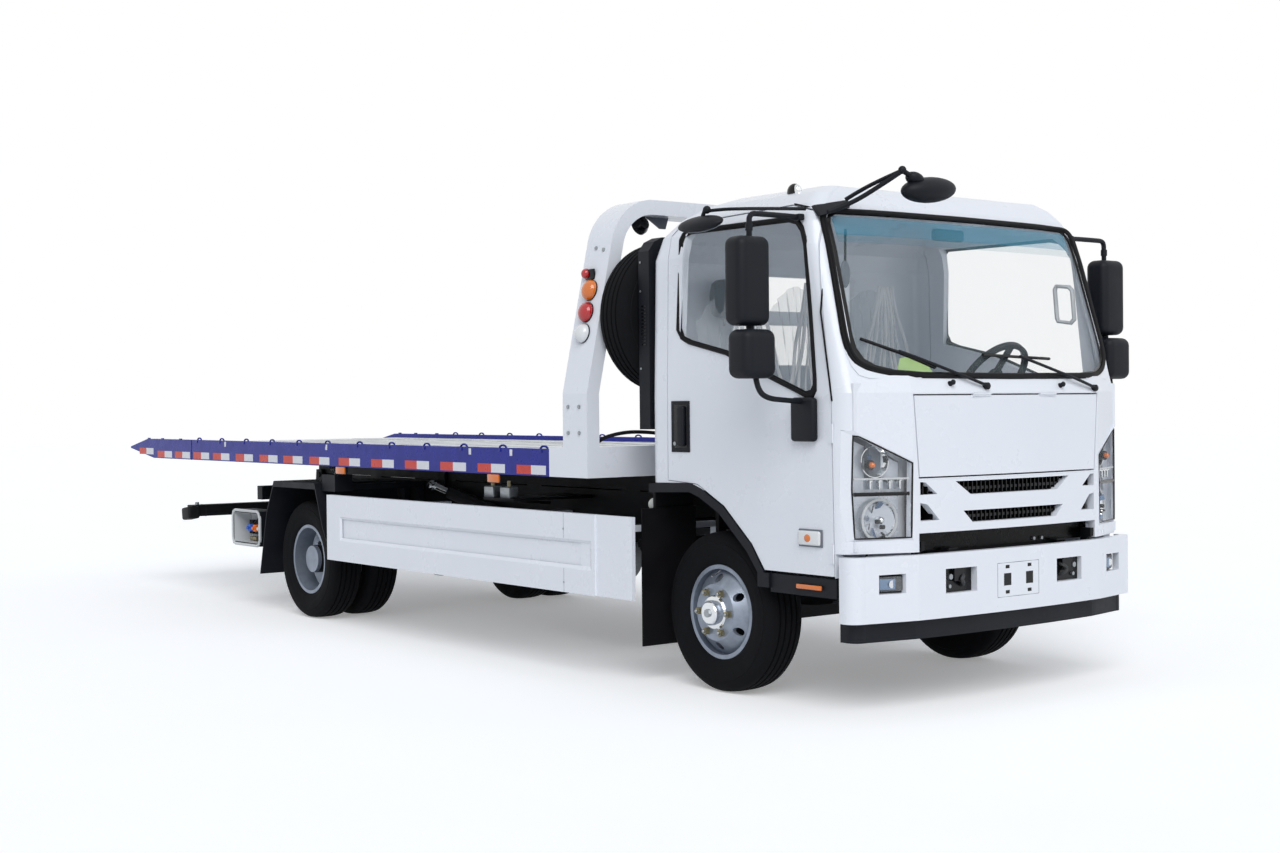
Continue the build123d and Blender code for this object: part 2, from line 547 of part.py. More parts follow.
REAR_WINDOW = ((-450.0, 2120.0), (450.0, 2120.0), (450.0, 1640.0), (-450.0, 1640.0))
LID = ((-670.0, 1470.0), (670.0, 1470.0), (640.0, 1082.0), (-640.0, 1082.0))
GRILLE = ((-640.0, 1075.0), (640.0, 1075.0), (640.0, GRILLE_BOTTOM), (-640.0, GRILLE_BOTTOM))
HEADLAMP = ((668.0, 1160.0), (950.0, 1303.0), (985.0, 1310.0), (990.0, 960.0), (972.0, 804.0), (674.0, 804.0))
LAMP_REAR_Y = -3990.0 + 110.0


def shrink(points, gap):
    """Points moved towards the middle of their outline by about gap."""
    centre_u = sum(u for u, v in points) / len(points)
    centre_v = sum(v for u, v in points) / len(points)
    half_u = max(abs(u - centre_u) for u, v in points)
    half_v = max(abs(v - centre_v) for u, v in points)
    return [(centre_u + (u - centre_u) * (1 - gap / half_u), centre_v + (v - centre_v) * (1 - gap / half_v))
            for u, v in points]


with BuildPart() as cab_shell:
    add(OUTER)
    cab_silhouette(0)
    with BuildPart(mode=Mode.PRIVATE) as cavity:
        add(INNER)
        cab_silhouette(CAB_WALL)
        block(-TUNNEL_HALF_WIDTH - CAB_WALL, TUNNEL_HALF_WIDTH + CAB_WALL, -4300, -2400, 300,
              TUNNEL_TOP + CAB_WALL, Mode.SUBTRACT)
    add(cavity.part, mode=Mode.SUBTRACT)
    block(-TUNNEL_HALF_WIDTH, TUNNEL_HALF_WIDTH, TUNNEL_FRONT_Y, -2400, 300, TUNNEL_TOP, Mode.SUBTRACT)
    block(-640, 640, -4300, TUNNEL_FRONT_Y, 300, GRILLE_BOTTOM, Mode.SUBTRACT)
    block(-950, 950, -3960, -3945, NOSE_BOTTOM + 10, 1520)
    front_outline(WINDSHIELD, -4300, -3640, Mode.SUBTRACT)
    front_outline(REAR_WINDOW, -2600, -2500, Mode.SUBTRACT)
    front_outline(LID, -4300, -3990, Mode.SUBTRACT)
    front_outline(GRILLE, -4300, -3990, Mode.SUBTRACT)
    for side in (1, -1):
        front_outline([(side * x, z) for x, z in HEADLAMP], -4300, LAMP_REAR_Y, Mode.SUBTRACT)
        side_outline(DOOR_OUTLINE, side * (CAB_HALF_WIDTH - 110), side * 1100, Mode.SUBTRACT)
        cross_pin(side * (CAB_HORN_X + 2), side * (CAB_HORN_X + 36), CAB_PIVOT_Y, CAB_PIVOT_Z,
                  CAB_PIN_RADIUS + PIN_FIT, Mode.SUBTRACT)
finish(cab_shell.part, "cab_shell")

# The cab's skin, from which doors, glass, lid, grille and lamps are cut
with BuildPart(mode=Mode.PRIVATE) as cab_skin:
    add(OUTER)
    add(INNER, mode=Mode.SUBTRACT)
GLASS_OUTER = cab_block(GLASS_INSET)
GLASS_INNER = cab_block(GLASS_INSET + GLASS_WALL)
with BuildPart(mode=Mode.PRIVATE) as glass_skin:
    add(GLASS_OUTER)
    add(GLASS_INNER, mode=Mode.SUBTRACT)

with BuildPart() as windshield:
    add(glass_skin.part)
    front_outline(shrink(WINDSHIELD, GLASS_GAP), -4300, -3640, Mode.INTERSECT)
with BuildPart() as rear_window:
    add(glass_skin.part)
    front_outline(shrink(REAR_WINDOW, GLASS_GAP), -2600, -2500, Mode.INTERSECT)
finish(Compound(children=[windshield.part.solids()[0], rear_window.part.solids()[0]]), "cab_glass")

with BuildPart() as front_lid:
    add(cab_skin.part)
    front_outline(shrink(LID, PANEL_GAP), -4300, -3990, Mode.INTERSECT)
    for side in (1, -1):
        cross_pin(side * 180, side * 300, LID_HINGE_Y, LID_HINGE_Z, LID_HINGE_RADIUS)
        block(side * 180, side * 300, LID_HINGE_Y, LID_HINGE_Y + 20, LID_HINGE_Z - 9, LID_HINGE_Z - 2)
finish(front_lid.part, "front_lid")

GRILLE_SLOTS = ((412.0, 1063.0, 314.0, 999.0), (363.0, 924.0, 303.0, 868.0))
GRILLE_CORNERS = (((632.0, 1066.0), (600.0, 1064.0), (528.0, 1008.0), (632.0, 1006.0)),
                  ((632.0, 970.0), (590.0, 962.0), (515.0, 888.0), (632.0, 886.0)))
with BuildPart() as grille:
    add(cab_skin.part)
    front_outline(shrink(GRILLE, SEAT_GAP), -4300, -3990, Mode.INTERSECT)
    for top_x, top_z, low_x, low_z in GRILLE_SLOTS:
        front_outline([(-top_x, top_z), (top_x, top_z), (low_x, low_z), (-low_x, low_z)],
                      -4300, -3990, Mode.SUBTRACT)
    for corner in GRILLE_CORNERS:
        for side in (1, -1):
            front_outline([(side * x, z) for x, z in corner], -4300, -3990, Mode.SUBTRACT)
    block(-430, 430, -4056, -4044, 1020, 1032)
    block(-370, 370, -4056, -4044, 890, 900)
finish(grille.part, "grille")

with BuildPart() as headlamps:
    add(cab_skin.part)
    with BuildPart(mode=Mode.PRIVATE) as lamp_space:
        for side in (1, -1):
            front_outline(shrink([(side * x, z) for x, z in HEADLAMP], SEAT_GAP), -4300, LAMP_REAR_Y - SEAT_GAP)
    add(lamp_space.part, mode=Mode.INTERSECT)
finish(headlamps.part, "headlamps")

# Doors with their windows cut, cut from the same skin
MIRROR_WIDTH = 200.0
MIRROR_DEPTH = 100.0
with BuildPart(mode=Mode.PRIVATE) as door_space:
    side_outline(shrink(DOOR_OUTLINE, PANEL_GAP), CAB_HALF_WIDTH - 110, 1100)
    side_outline(DOOR_WINDOW, 800, 1100, Mode.SUBTRACT)
with BuildPart(mode=Mode.PRIVATE) as window_space:
    side_outline(shrink(DOOR_WINDOW, GLASS_GAP), CAB_HALF_WIDTH - 110, 1100)
for side, word in ((1, "left"), (-1, "right")):
    door_cut = door_space.part if side > 0 else door_space.part.mirror(Plane.YZ)
    window_cut = window_space.part if side > 0 else window_space.part.mirror(Plane.YZ)
    with BuildPart() as door:
        add(cab_skin.part)
        add(door_cut, mode=Mode.INTERSECT)
        for low in (700.0, 1250.0):
            with Locations((side * DOOR_HINGE_X, DOOR_HINGE_Y, low + 45)):
                Cylinder(DOOR_HINGE_RADIUS, 90)
            block(side * (CAB_HALF_WIDTH + 0.5), side * DOOR_HINGE_X, DOOR_HINGE_Y, DOOR_HINGE_Y + 26, low, low + 90)
            block(side * (CAB_HALF_WIDTH - 6), side * DOOR_HINGE_X, DOOR_HINGE_Y + 18, DOOR_HINGE_Y + 26,
                  low, low + 90)
    finish(door.part, f"door_{word}")
    with BuildPart() as door_glass:
        add(glass_skin.part)
        add(window_cut, mode=Mode.INTERSECT)
    finish(door_glass.part, f"door_glass_{word}")

    # Mirror arm with its two mirrors, carried by the door's front edge
    arm_x = CAB_HALF_WIDTH
    with BuildPart() as mirrors:
        for low, high in ((1785, 2195), (1545, 1772)):
            with BuildSketch(Plane.XY.offset(low)) as head:
                with Locations((side * (arm_x + 302), -3640)):
                    RectangleRounded(MIRROR_WIDTH, MIRROR_DEPTH, 38)
            extrude(head.sketch, amount=high - low)
        tube_x = arm_x + 290
        block(side * (tube_x - 14), side * (tube_x + 14), -3655, -3627, 1462, 2310)
        block(side * (arm_x + 20), side * (tube_x + 14), -3655, -3627, 1434, 1462)
        block(side * (arm_x + SEAT_GAP), side * (arm_x + 46), -3790, -3627, 1254, 1462)
        block(side * (arm_x - 36.5), side * tube_x, -3655, -3627, 2285, 2310)
    finish(mirrors.part, f"mirrors_{word}")

# Dashboard with the steering column
WHEEL_CENTRE = (470.0, -3560.0, 1560.0)
WHEEL_TILT = 38.0
with BuildPart() as dashboard:
    side_outline([(-3944, TUNNEL_TOP + CAB_WALL + SEAT_GAP), (-3944, 1500), (-3800, 1520), (-3680, 1480),
                  (-3640, 1390), (-3700, 1250), (-3760, 1100), (-3780, TUNNEL_TOP + CAB_WALL + SEAT_GAP)], -840, 840)
    column = Plane(origin=WHEEL_CENTRE, x_dir=(1, 0, 0),
                   z_dir=(0, -cos(radians(WHEEL_TILT)), -sin(radians(WHEEL_TILT))))
    with BuildSketch(column.offset(30)):
        Circle(38)
    extrude(amount=150)
finish(dashboard.part, "dashboard")

with BuildPart() as steering_wheel:
    rim_plane = Plane(origin=WHEEL_CENTRE, x_dir=(1, 0, 0),
                      z_dir=(0, -cos(radians(WHEEL_TILT)), -sin(radians(WHEEL_TILT))))
    with BuildSketch(rim_plane.offset(-14)):
        Circle(215)
        Circle(188, mode=Mode.SUBTRACT)
    extrude(amount=26)
    with BuildSketch(rim_plane.offset(-10)):
        Circle(52)
        with PolarLocations(0, 3, start_angle=90):
            with Locations((95, 0)):
                Rectangle(190, 34)
    extrude(amount=18)
    with BuildSketch(rim_plane):
        Circle(30)
    extrude(amount=30 - SEAT_GAP)
finish(steering_wheel.part, "steering_wheel")

# Three seats: cushion, back and head rest
SEAT_X = (430.0, -130.0, -560.0)
SEAT_BASE = ARCH_TOP + CAB_WALL + SEAT_GAP
with BuildPart() as seats:
    for x, width in zip(SEAT_X, (480.0, 380.0, 440.0)):
        block(x - width / 2, x + width / 2, -3260, -2780, SEAT_BASE, SEAT_BASE + 190)
        side_outline([(-2860, SEAT_BASE + 100), (-2700, SEAT_BASE + 100), (-2620, SEAT_BASE + 760),
                      (-2720, SEAT_BASE + 780)], x - width / 2, x + width / 2)
        block(x - 120, x + 120, -2720, -2630, SEAT_BASE + 740, SEAT_BASE + 960)
finish(seats.part, "seats")

# Air-intake snorkel on the back of the cab
with BuildPart() as snorkel:
    block(-992, -880, CAB_REAR_Y + SEAT_GAP, CAB_REAR_Y + 88, 1305, 2200)
    side = [(-992, 2199), (-992, 2225), (-955, 2275), (-900, 2300), (-620, 2300), (-620, 2199)]
    with BuildSketch(Plane.XZ.offset(-CAB_REAR_Y - SEAT_GAP)) as head:
        Polygon(*side, align=None)
    extrude(head.sketch, amount=-88 + SEAT_GAP)
finish(snorkel.part, "snorkel")

def arch_band(depth, x_from, x_to):
    """A band of the given depth under the cab's arch edge, from the cab's rear down to the step."""
    foot = CAB_BOTTOM - PANEL_GAP
    upper = [(y, z - SEAT_GAP) for y, z in ARCH_EDGE] + [(-3406 + SEAT_GAP, foot)]
    lower = [(-3406 + depth, foot)] + [(y + 0.7 * depth, z - 0.7 * depth) for y, z in ARCH_EDGE[:1:-1]]
    rear = [(ARCH_EDGE[1][0], ARCH_EDGE[1][1] - depth), (ARCH_EDGE[0][0], ARCH_EDGE[0][1] - depth)]
    side_outline(upper + lower + rear, x_from, x_to)


# Cab steps below the doors, with the flares and liners of the wheel arches
FLARE_DEPTH = 46.0
LINER_DEPTH = 14.0
ARCH_EDGE = [(CAB_REAR_Y, ARCH_TOP - 12), (-2851.0, ARCH_TOP), (-2960.0, 1003.0)] + list(DOOR_OUTLINE[-3:-5:-1])
with BuildPart() as cab_steps:
    for side in (1, -1):
        block(side * 780, side * (CAB_HALF_WIDTH - 5), -3886, -3440, 540, CAB_BOTTOM - PANEL_GAP)
        block(side * 925, side * (CAB_HALF_WIDTH + 8), -3441, -3406 + FLARE_DEPTH, 560,
              CAB_BOTTOM - PANEL_GAP + 0.5)
        block(side * 780, side * (CAB_HALF_WIDTH - CAB_WALL - 8), -3880, -3446, CAB_BOTTOM - PANEL_GAP - 1,
              CAB_BOTTOM - SEAT_GAP)
        arch_band(FLARE_DEPTH, side * 925, side * (CAB_HALF_WIDTH + 8))
        arch_band(LINER_DEPTH, side * 560, side * 926)
finish(cab_steps.part, "cab_steps")


# Wheels and tyres
RIM_HALF = RIM_WIDTH / 2
HAND_HOLES = 6
HAND_HOLE_CIRCLE = 168.0
HAND_HOLE_RADIUS = 21.0
TYRE_HALF = TYRE_WIDTH / 2


def tyre(x, y, z, axis=(1, 0, 0)):
    """A plain-tread tyre about an axis through its centre."""
    up = (0, 0, 1) if axis[0] else (1, 0, 0)
    plane = Plane(origin=(x, y, z), x_dir=axis, z_dir=up)
    half = [(RIM_HALF - 8, BEAD_RADIUS), (RIM_HALF - 2, RIM_FLANGE_RADIUS + 1),
            (RIM_HALF + 6, RIM_FLANGE_RADIUS + 5), (TYRE_HALF - 4, 285),
            (TYRE_HALF, 322), (TYRE_HALF - 8, 365), (TYRE_HALF - 26, 389), (TYRE_HALF - 45, 396), (40, TYRE_RADIUS)]
    with BuildSketch(plane) as section:
        with BuildLine():
            Polyline(*half, *[(-u, v) for u, v in half[::-1]], close=True)
        make_face()
    revolve(section.sketch, axis=Axis((x, y, z), axis))


def rim(x, y, z, axis, face, hub_radius=82.0):
    """A disc wheel: barrel with flanges and a dished disc on the face side (+1 or -1 along axis)."""
    up = (0, 0, 1) if axis[0] else (1, 0, 0)
    plane = Plane(origin=(x, y, z), x_dir=axis, z_dir=up)
    barrel = [(-RIM_HALF - 6, RIM_FLANGE_RADIUS), (-RIM_HALF - 6, BEAD_RADIUS - RIM_WALL - 1),
              (RIM_HALF + 6, BEAD_RADIUS - RIM_WALL - 1), (RIM_HALF + 6, RIM_FLANGE_RADIUS),
              (RIM_HALF - 0.5, RIM_FLANGE_RADIUS), (RIM_HALF - 6.5, BEAD_RADIUS - SEAT_GAP),
              (-RIM_HALF + 6.5, BEAD_RADIUS - SEAT_GAP), (-RIM_HALF + 0.5, RIM_FLANGE_RADIUS)]
    offset = DUAL_SPACING / 2 - 12
    disc = [(face * offset, hub_radius), (face * offset, 140), (face * (offset - 60), 200),
            (face * (offset - 75), BEAD_RADIUS - RIM_WALL), (face * (offset - 90), BEAD_RADIUS - RIM_WALL),
            (face * (offset - 70), 190), (face * (offset - 12), 132), (face * (offset - 12), hub_radius)]
    for outline in (barrel, disc):
        with BuildSketch(plane) as section:
            with BuildLine():
                Polyline(*outline, close=True)
            make_face()
        revolve(section.sketch, axis=Axis((x, y, z), axis))
    turn = (0, 90, 0) if axis[0] else (90, 0, 0)
    with Locations(Location((x, y, z), turn)):
        with PolarLocations(HAND_HOLE_CIRCLE, HAND_HOLES):
            Cylinder(HAND_HOLE_RADIUS, 4 * RIM_HALF, mode=Mode.SUBTRACT)


for side, word in ((1, "left"), (-1, "right")):
    centre_x = side * FRONT_TYRE_X
    # Steering knuckle: yoke over the kingpin, brake plate and spindle
    with BuildPart() as knuckle:
        for low, high in ((TYRE_RADIUS - 82, TYRE_RADIUS - KINGPIN_EYE_HALF - SEAT_GAP),
                          (TYRE_RADIUS + KINGPIN_EYE_HALF + SEAT_GAP, TYRE_RADIUS + 82)):
            block(side * KINGPIN_X, side * (KINGPIN_X + 62), FRONT_AXLE_Y - 34, FRONT_AXLE_Y + 34, low, high)
            with Locations((side * KINGPIN_X, FRONT_AXLE_Y, (low + high) / 2)):
                Cylinder(34, high - low)
        with Locations((side * KINGPIN_X, FRONT_AXLE_Y, TYRE_RADIUS)):
            Cylinder(KINGPIN_RADIUS + PIN_FIT, 220, mode=Mode.SUBTRACT)
        block(side * (KINGPIN_X + 42), side * (KINGPIN_X + 62), FRONT_AXLE_Y - 34, FRONT_AXLE_Y + 34,
              TYRE_RADIUS - 82, TYRE_RADIUS + 82)
        cross_pin(side * (KINGPIN_X + 60), side * (KINGPIN_X + 90), FRONT_AXLE_Y, TYRE_RADIUS, 165)
        cross_pin(side * (KINGPIN_X + 80), side * (FRONT_TYRE_X + 150), FRONT_AXLE_Y, TYRE_RADIUS, SPINDLE_RADIUS)
    finish(knuckle.part, f"knuckle_{word}")
    with BuildPart() as front_wheel:
        rim(centre_x, FRONT_AXLE_Y, TYRE_RADIUS, (1, 0, 0), side)
        cross_pin(side * (KINGPIN_X + 95), side * (FRONT_TYRE_X + 128), FRONT_AXLE_Y, TYRE_RADIUS, 95)
        cross_pin(side * (FRONT_TYRE_X + 120), side * (FRONT_TYRE_X + 165), FRONT_AXLE_Y, TYRE_RADIUS, 62)
        cross_pin(side * (KINGPIN_X + 90), side * (FRONT_TYRE_X + 152), FRONT_AXLE_Y, TYRE_RADIUS,
                  SPINDLE_RADIUS + PIN_FIT, Mode.SUBTRACT)
    finish(front_wheel.part, f"front_wheel_{word}")
    with BuildPart() as front_tyre:
        tyre(centre_x, FRONT_AXLE_Y, TYRE_RADIUS)
    finish(front_tyre.part, f"front_tyre_{word}")
    with BuildPart() as rear_wheels:
        outer_x, inner_x = side * REAR_TYRE_X, side * (REAR_TYRE_X - DUAL_SPACING)
        rim(outer_x, REAR_AXLE_Y, TYRE_RADIUS, (1, 0, 0), -side)
        rim(inner_x, REAR_AXLE_Y, TYRE_RADIUS, (1, 0, 0), side)
        cross_pin(side * 745, side * 837, REAR_AXLE_Y, TYRE_RADIUS, 150)
        cross_pin(side * 810, side * 1035, REAR_AXLE_Y, TYRE_RADIUS, 90)
        cross_pin(side * 700, side * (AXLE_END_X + 5), REAR_AXLE_Y, TYRE_RADIUS, SPINDLE_RADIUS + PIN_FIT,
                  Mode.SUBTRACT)
    finish(rear_wheels.part, f"rear_wheels_{word}")
    with BuildPart() as rear_tyres:
        tyre(outer_x, REAR_AXLE_Y, TYRE_RADIUS)
        tyre(inner_x, REAR_AXLE_Y, TYRE_RADIUS)
    finish(rear_tyres.part, f"rear_tyres_{word}")

# Tilt frame: two rails on wear pads, cross tubes, rear hinge lugs and the slide cylinder's barrel
SLIDE_BARREL_RADIUS = 34.0
SLIDE_ROD_RADIUS = 20.0
SLIDE_BARREL_FRONT_Y = -1800.0
SLIDE_ROD_EYE_Y = 1290.0
SLIDE_Z = 1012.0
with BuildPart() as tilt_frame:
    for side in (1, -1):
        inner, outer = side * SUBRAIL_INNER, side * (SUBRAIL_INNER + SUBRAIL_WIDTH)
        block(inner, outer, TILT_FRAME_FRONT_Y, TILT_FRAME_REAR_Y, TILT_FRAME_BOTTOM, TILT_FRAME_TOP)
        for y in (-1800.0, -900.0, 0.0, 900.0, 1960.0):
            block(inner, outer, y, y + 200, TILT_FRAME_TOP, BED_BOTTOM - SEAT_GAP)
        block(inner, outer, TILT_PIVOT_Y - 45, TILT_PIVOT_Y + 45, TILT_PIVOT_Z - 40, TILT_FRAME_BOTTOM + 1)
        cross_pin(side * (SUBRAIL_INNER - 20), side * (SUBRAIL_INNER + SUBRAIL_WIDTH + 0.5),
                  TILT_PIVOT_Y, TILT_PIVOT_Z, TILT_PIN_RADIUS + PIN_FIT, Mode.SUBTRACT)
        block(outer, side * (CYLINDER_INNER - 4), CYLINDER_EYE_Y - 45, CYLINDER_EYE_Y + 45,
              TILT_FRAME_BOTTOM, TILT_FRAME_TOP)
        block(side * (RAIL_HALF_WIDTH + 2), side * (CYLINDER_INNER - 4), CYLINDER_EYE_Y - 45, CYLINDER_EYE_Y + 45,
              CYLINDER_EYE_Z - 35, TILT_FRAME_BOTTOM + 1)
    for y in (-1820.0, -500.0, 600.0, 1400.0, 2200.0):
        block(-SUBRAIL_INNER - 1, SUBRAIL_INNER + 1, y, y + 40, TILT_FRAME_BOTTOM + 5, TILT_FRAME_TOP - 4)
    with Locations(Location((0, (SLIDE_BARREL_FRONT_Y + SLIDE_ROD_EYE_Y - 90) / 2, SLIDE_Z), (90, 0, 0))):
        Cylinder(SLIDE_BARREL_RADIUS, SLIDE_ROD_EYE_Y - 90 - SLIDE_BARREL_FRONT_Y)
        Cylinder(SLIDE_ROD_RADIUS + PIN_FIT, SLIDE_ROD_EYE_Y - SLIDE_BARREL_FRONT_Y - 130, mode=Mode.SUBTRACT)
    with Locations(Location((0, SLIDE_ROD_EYE_Y - 120, SLIDE_Z), (90, 0, 0))):
        Cylinder(SLIDE_ROD_RADIUS + PIN_FIT, 200, mode=Mode.SUBTRACT)
    block(-60, 60, 1400, 1440, SLIDE_Z - 45, TILT_FRAME_TOP, Mode.SUBTRACT)
    block(-60, 60, 2200, 2240, SLIDE_Z - 45, TILT_FRAME_TOP, Mode.SUBTRACT)
finish(tilt_frame.part, "tilt_frame")

# Tilt cylinders: barrels on the frame's pins, rods up to the tilt frame's side lugs
CYLINDER_RUN = hypot(CYLINDER_EYE_Y - CYLINDER_PIN_Y, CYLINDER_EYE_Z - CYLINDER_PIN_Z)
with BuildPart() as tilt_barrels:
    for side in (1, -1):
        bore_plane = Plane(origin=(side * CYLINDER_X, CYLINDER_PIN_Y, CYLINDER_PIN_Z), x_dir=(1, 0, 0),
                           z_dir=(0, CYLINDER_EYE_Y - CYLINDER_PIN_Y, CYLINDER_EYE_Z - CYLINDER_PIN_Z))
        with BuildSketch(bore_plane.offset(30)):
            Circle(BARREL_RADIUS)
        extrude(amount=BARREL_LENGTH - 30)
        cross_pin(side * (CYLINDER_INNER + 1), side * (CYLINDER_X + 44), CYLINDER_PIN_Y, CYLINDER_PIN_Z, 38)
        with BuildSketch(bore_plane.offset(120)):
            Circle(ROD_RADIUS + PIN_FIT)
        extrude(amount=BARREL_LENGTH, mode=Mode.SUBTRACT)
        cross_pin(side * CYLINDER_INNER, side * (CYLINDER_X + 60), CYLINDER_PIN_Y, CYLINDER_PIN_Z,
                  CYLINDER_PIN_RADIUS + PIN_FIT, Mode.SUBTRACT)
finish(tilt_barrels.part, "tilt_barrels")

with BuildPart() as tilt_rods:
    for side in (1, -1):
        rod_plane = Plane(origin=(side * CYLINDER_X, CYLINDER_PIN_Y, CYLINDER_PIN_Z), x_dir=(1, 0, 0),
                          z_dir=(0, CYLINDER_EYE_Y - CYLINDER_PIN_Y, CYLINDER_EYE_Z - CYLINDER_PIN_Z))
        with BuildSketch(rod_plane.offset(200)):
            Circle(ROD_RADIUS)
        extrude(amount=CYLINDER_RUN - 200)
        cross_pin(side * (CYLINDER_INNER + 4), side * (CYLINDER_X + 40), CYLINDER_EYE_Y, CYLINDER_EYE_Z, 36)
        cross_pin(side * (CYLINDER_INNER - 4 + SEAT_GAP), side * (CYLINDER_X + 48), CYLINDER_EYE_Y, CYLINDER_EYE_Z, 17)
finish(tilt_rods.part, "tilt_rods")

# Bed: runners, cross channels, deck plate and the tail wedge
DECK_HALF = BED_HALF_WIDTH - SIDE_RAIL_WIDTH - SEAT_GAP
CHANNEL_PITCH = 460.0
CHANNELS = 12
BED_DECK_FRONT_Y = -2145.0
WINCH_Y = -1890.0
WINCH_HALF_DEPTH = 110.0
WINCH_BAY_STEP = 2.0
WINCH_BAY_REAR_Y = WINCH_Y + WINCH_HALF_DEPTH + 25.0
with BuildPart() as bed_deck:
    block(-DECK_HALF, DECK_HALF, BED_DECK_FRONT_Y, WINCH_BAY_REAR_Y, DECK_TOP - DECK_WALL,
          DECK_TOP - WINCH_BAY_STEP)
    block(-DECK_HALF, DECK_HALF, WINCH_BAY_REAR_Y, 3600, DECK_TOP - DECK_WALL, DECK_TOP)
    for side in (1, -1):
        block(side * RUNNER_INNER, side * (RUNNER_INNER + RUNNER_WIDTH), BED_DECK_FRONT_Y, 3600,
              BED_BOTTOM, DECK_TOP - DECK_WALL)
    for index in range(CHANNELS):
        y = SLIDE_ROD_EYE_Y + CHANNEL_PITCH * (index - 7)
        block(-DECK_HALF, DECK_HALF, y - 30, y + 30, BED_BOTTOM + 12, DECK_TOP - DECK_WALL)
    side_outline([(3600, DECK_TOP), (3700, DECK_TOP), (TAIL_TIP_Y, TAIL_TIP_Z),
                  (TAIL_TIP_Y, TAIL_TIP_Z - TAIL_TIP_THICKNESS), (TAIL_BOTTOM_Y, BED_BOTTOM + 12),
                  (3600, BED_BOTTOM + 12)], -DECK_HALF, DECK_HALF)
    pair(BED_HALF_WIDTH - GANTRY_SECTION - SEAT_GAP, DECK_HALF + 1, BED_DECK_FRONT_Y - 1,
         BED_FRONT_Y + GANTRY_DEPTH + SEAT_GAP, BED_BOTTOM, DECK_TOP + 1, Mode.SUBTRACT)
    block(-38, 38, SLIDE_ROD_EYE_Y - 32, SLIDE_ROD_EYE_Y + 32, SLIDE_Z - 25, BED_BOTTOM + 13)
finish(bed_deck.part, "bed_deck")

with BuildPart() as slide_rod:
    with Locations(Location((0, (SLIDE_BARREL_FRONT_Y + 40 + SLIDE_ROD_EYE_Y - 32 - SEAT_GAP) / 2, SLIDE_Z), (90, 0, 0))):
        Cylinder(SLIDE_ROD_RADIUS, SLIDE_ROD_EYE_Y - 32 - SEAT_GAP - SLIDE_BARREL_FRONT_Y - 40)
finish(slide_rod.part, "slide_rod")

# Blue side rails with their slots and the tail's wedge sides
SLOT_LENGTH = 95.0
SLOT_PITCH = 430.0
SLOTS = 12
with BuildPart() as side_rails:
    for side in (1, -1):
        side_outline([(SIDE_RAIL_FRONT_Y + SEAT_GAP, BED_BOTTOM), (TAIL_BOTTOM_Y, BED_BOTTOM),
                      (TAIL_TIP_Y, TAIL_TIP_Z - TAIL_TIP_THICKNESS), (TAIL_TIP_Y, TAIL_TIP_Z),
                      (TAIL_TOP_Y, RAIL_CAP), (SIDE_RAIL_FRONT_Y + SEAT_GAP, RAIL_CAP)],
                     side * (BED_HALF_WIDTH - SIDE_RAIL_WIDTH), side * BED_HALF_WIDTH)
        for index in range(SLOTS):
            y = SIDE_RAIL_FRONT_Y + 300 + SLOT_PITCH * index
            block(side * (BED_HALF_WIDTH - SIDE_RAIL_WIDTH + 14), side * (BED_HALF_WIDTH - 14),
                  y, y + SLOT_LENGTH, RAIL_CAP - 45, RAIL_CAP + 5, Mode.SUBTRACT)
finish(side_rails.part, "side_rails")


# Gantry hoop with its front panel and side plates
def hoop(inset):
    """The hoop's outline in front view, moved in by inset, with round top corners."""
    half = BED_HALF_WIDTH - inset
    top = GANTRY_TOP - inset
    lean = GANTRY_LEAN * (top - GANTRY_KINK_Z) / (2190.0 - GANTRY_KINK_Z)
    Polyline((-half, BED_BOTTOM), (-half, GANTRY_KINK_Z), (-half + lean, top), (half - lean, top),
             (half, GANTRY_KINK_Z), (half, BED_BOTTOM), (-half, BED_BOTTOM))


HOOP_REAR_Y = BED_FRONT_Y + GANTRY_DEPTH
with BuildPart() as gantry:
    with BuildSketch(Plane.XZ.offset(-BED_FRONT_Y)) as hoop_outer:
        with BuildLine():
            hoop(0)
        make_face()
        fillet(hoop_outer.vertices().group_by(Axis.Y)[-1], GANTRY_CORNER)
    extrude(amount=-GANTRY_DEPTH)
    with BuildSketch(Plane.XZ.offset(-BED_FRONT_Y)) as hoop_inner:
        with BuildLine():
            hoop(GANTRY_SECTION)
        make_face()
        fillet(hoop_inner.vertices().group_by(Axis.Y)[-1], GANTRY_CORNER - GANTRY_SECTION)
    extrude(amount=-GANTRY_DEPTH, mode=Mode.SUBTRACT)
    block(-BED_HALF_WIDTH + 20, BED_HALF_WIDTH - 20, BED_FRONT_Y, BED_FRONT_Y + 42, BED_BOTTOM, 1212)
    for side in (1, -1):
        block(side * (BED_HALF_WIDTH - SIDE_RAIL_WIDTH), side * BED_HALF_WIDTH, HOOP_REAR_Y - 1, SIDE_RAIL_FRONT_Y,
              BED_BOTTOM, RAIL_CAP + 12)
    block(-(BED_HALF_WIDTH - 150), BED_HALF_WIDTH - 150, -2181.2, -2140, 1880, 1960)
finish(gantry.part, "gantry")

# Spare wheel on the gantry's cross tube
SPARE_X = -690.0
SPARE_Z = 1900.0
SPARE_Y = -2181.2 - SEAT_GAP - (DUAL_SPACING / 2 - 12)
with BuildPart() as spare_wheel:
    rim(SPARE_X, SPARE_Y, SPARE_Z, (0, 1, 0), 1, 82.0)
finish(spare_wheel.part, "spare_wheel")
with BuildPart() as spare_tyre:
    tyre(SPARE_X, SPARE_Y, SPARE_Z, (0, 1, 0))
finish(spare_tyre.part, "spare_tyre")

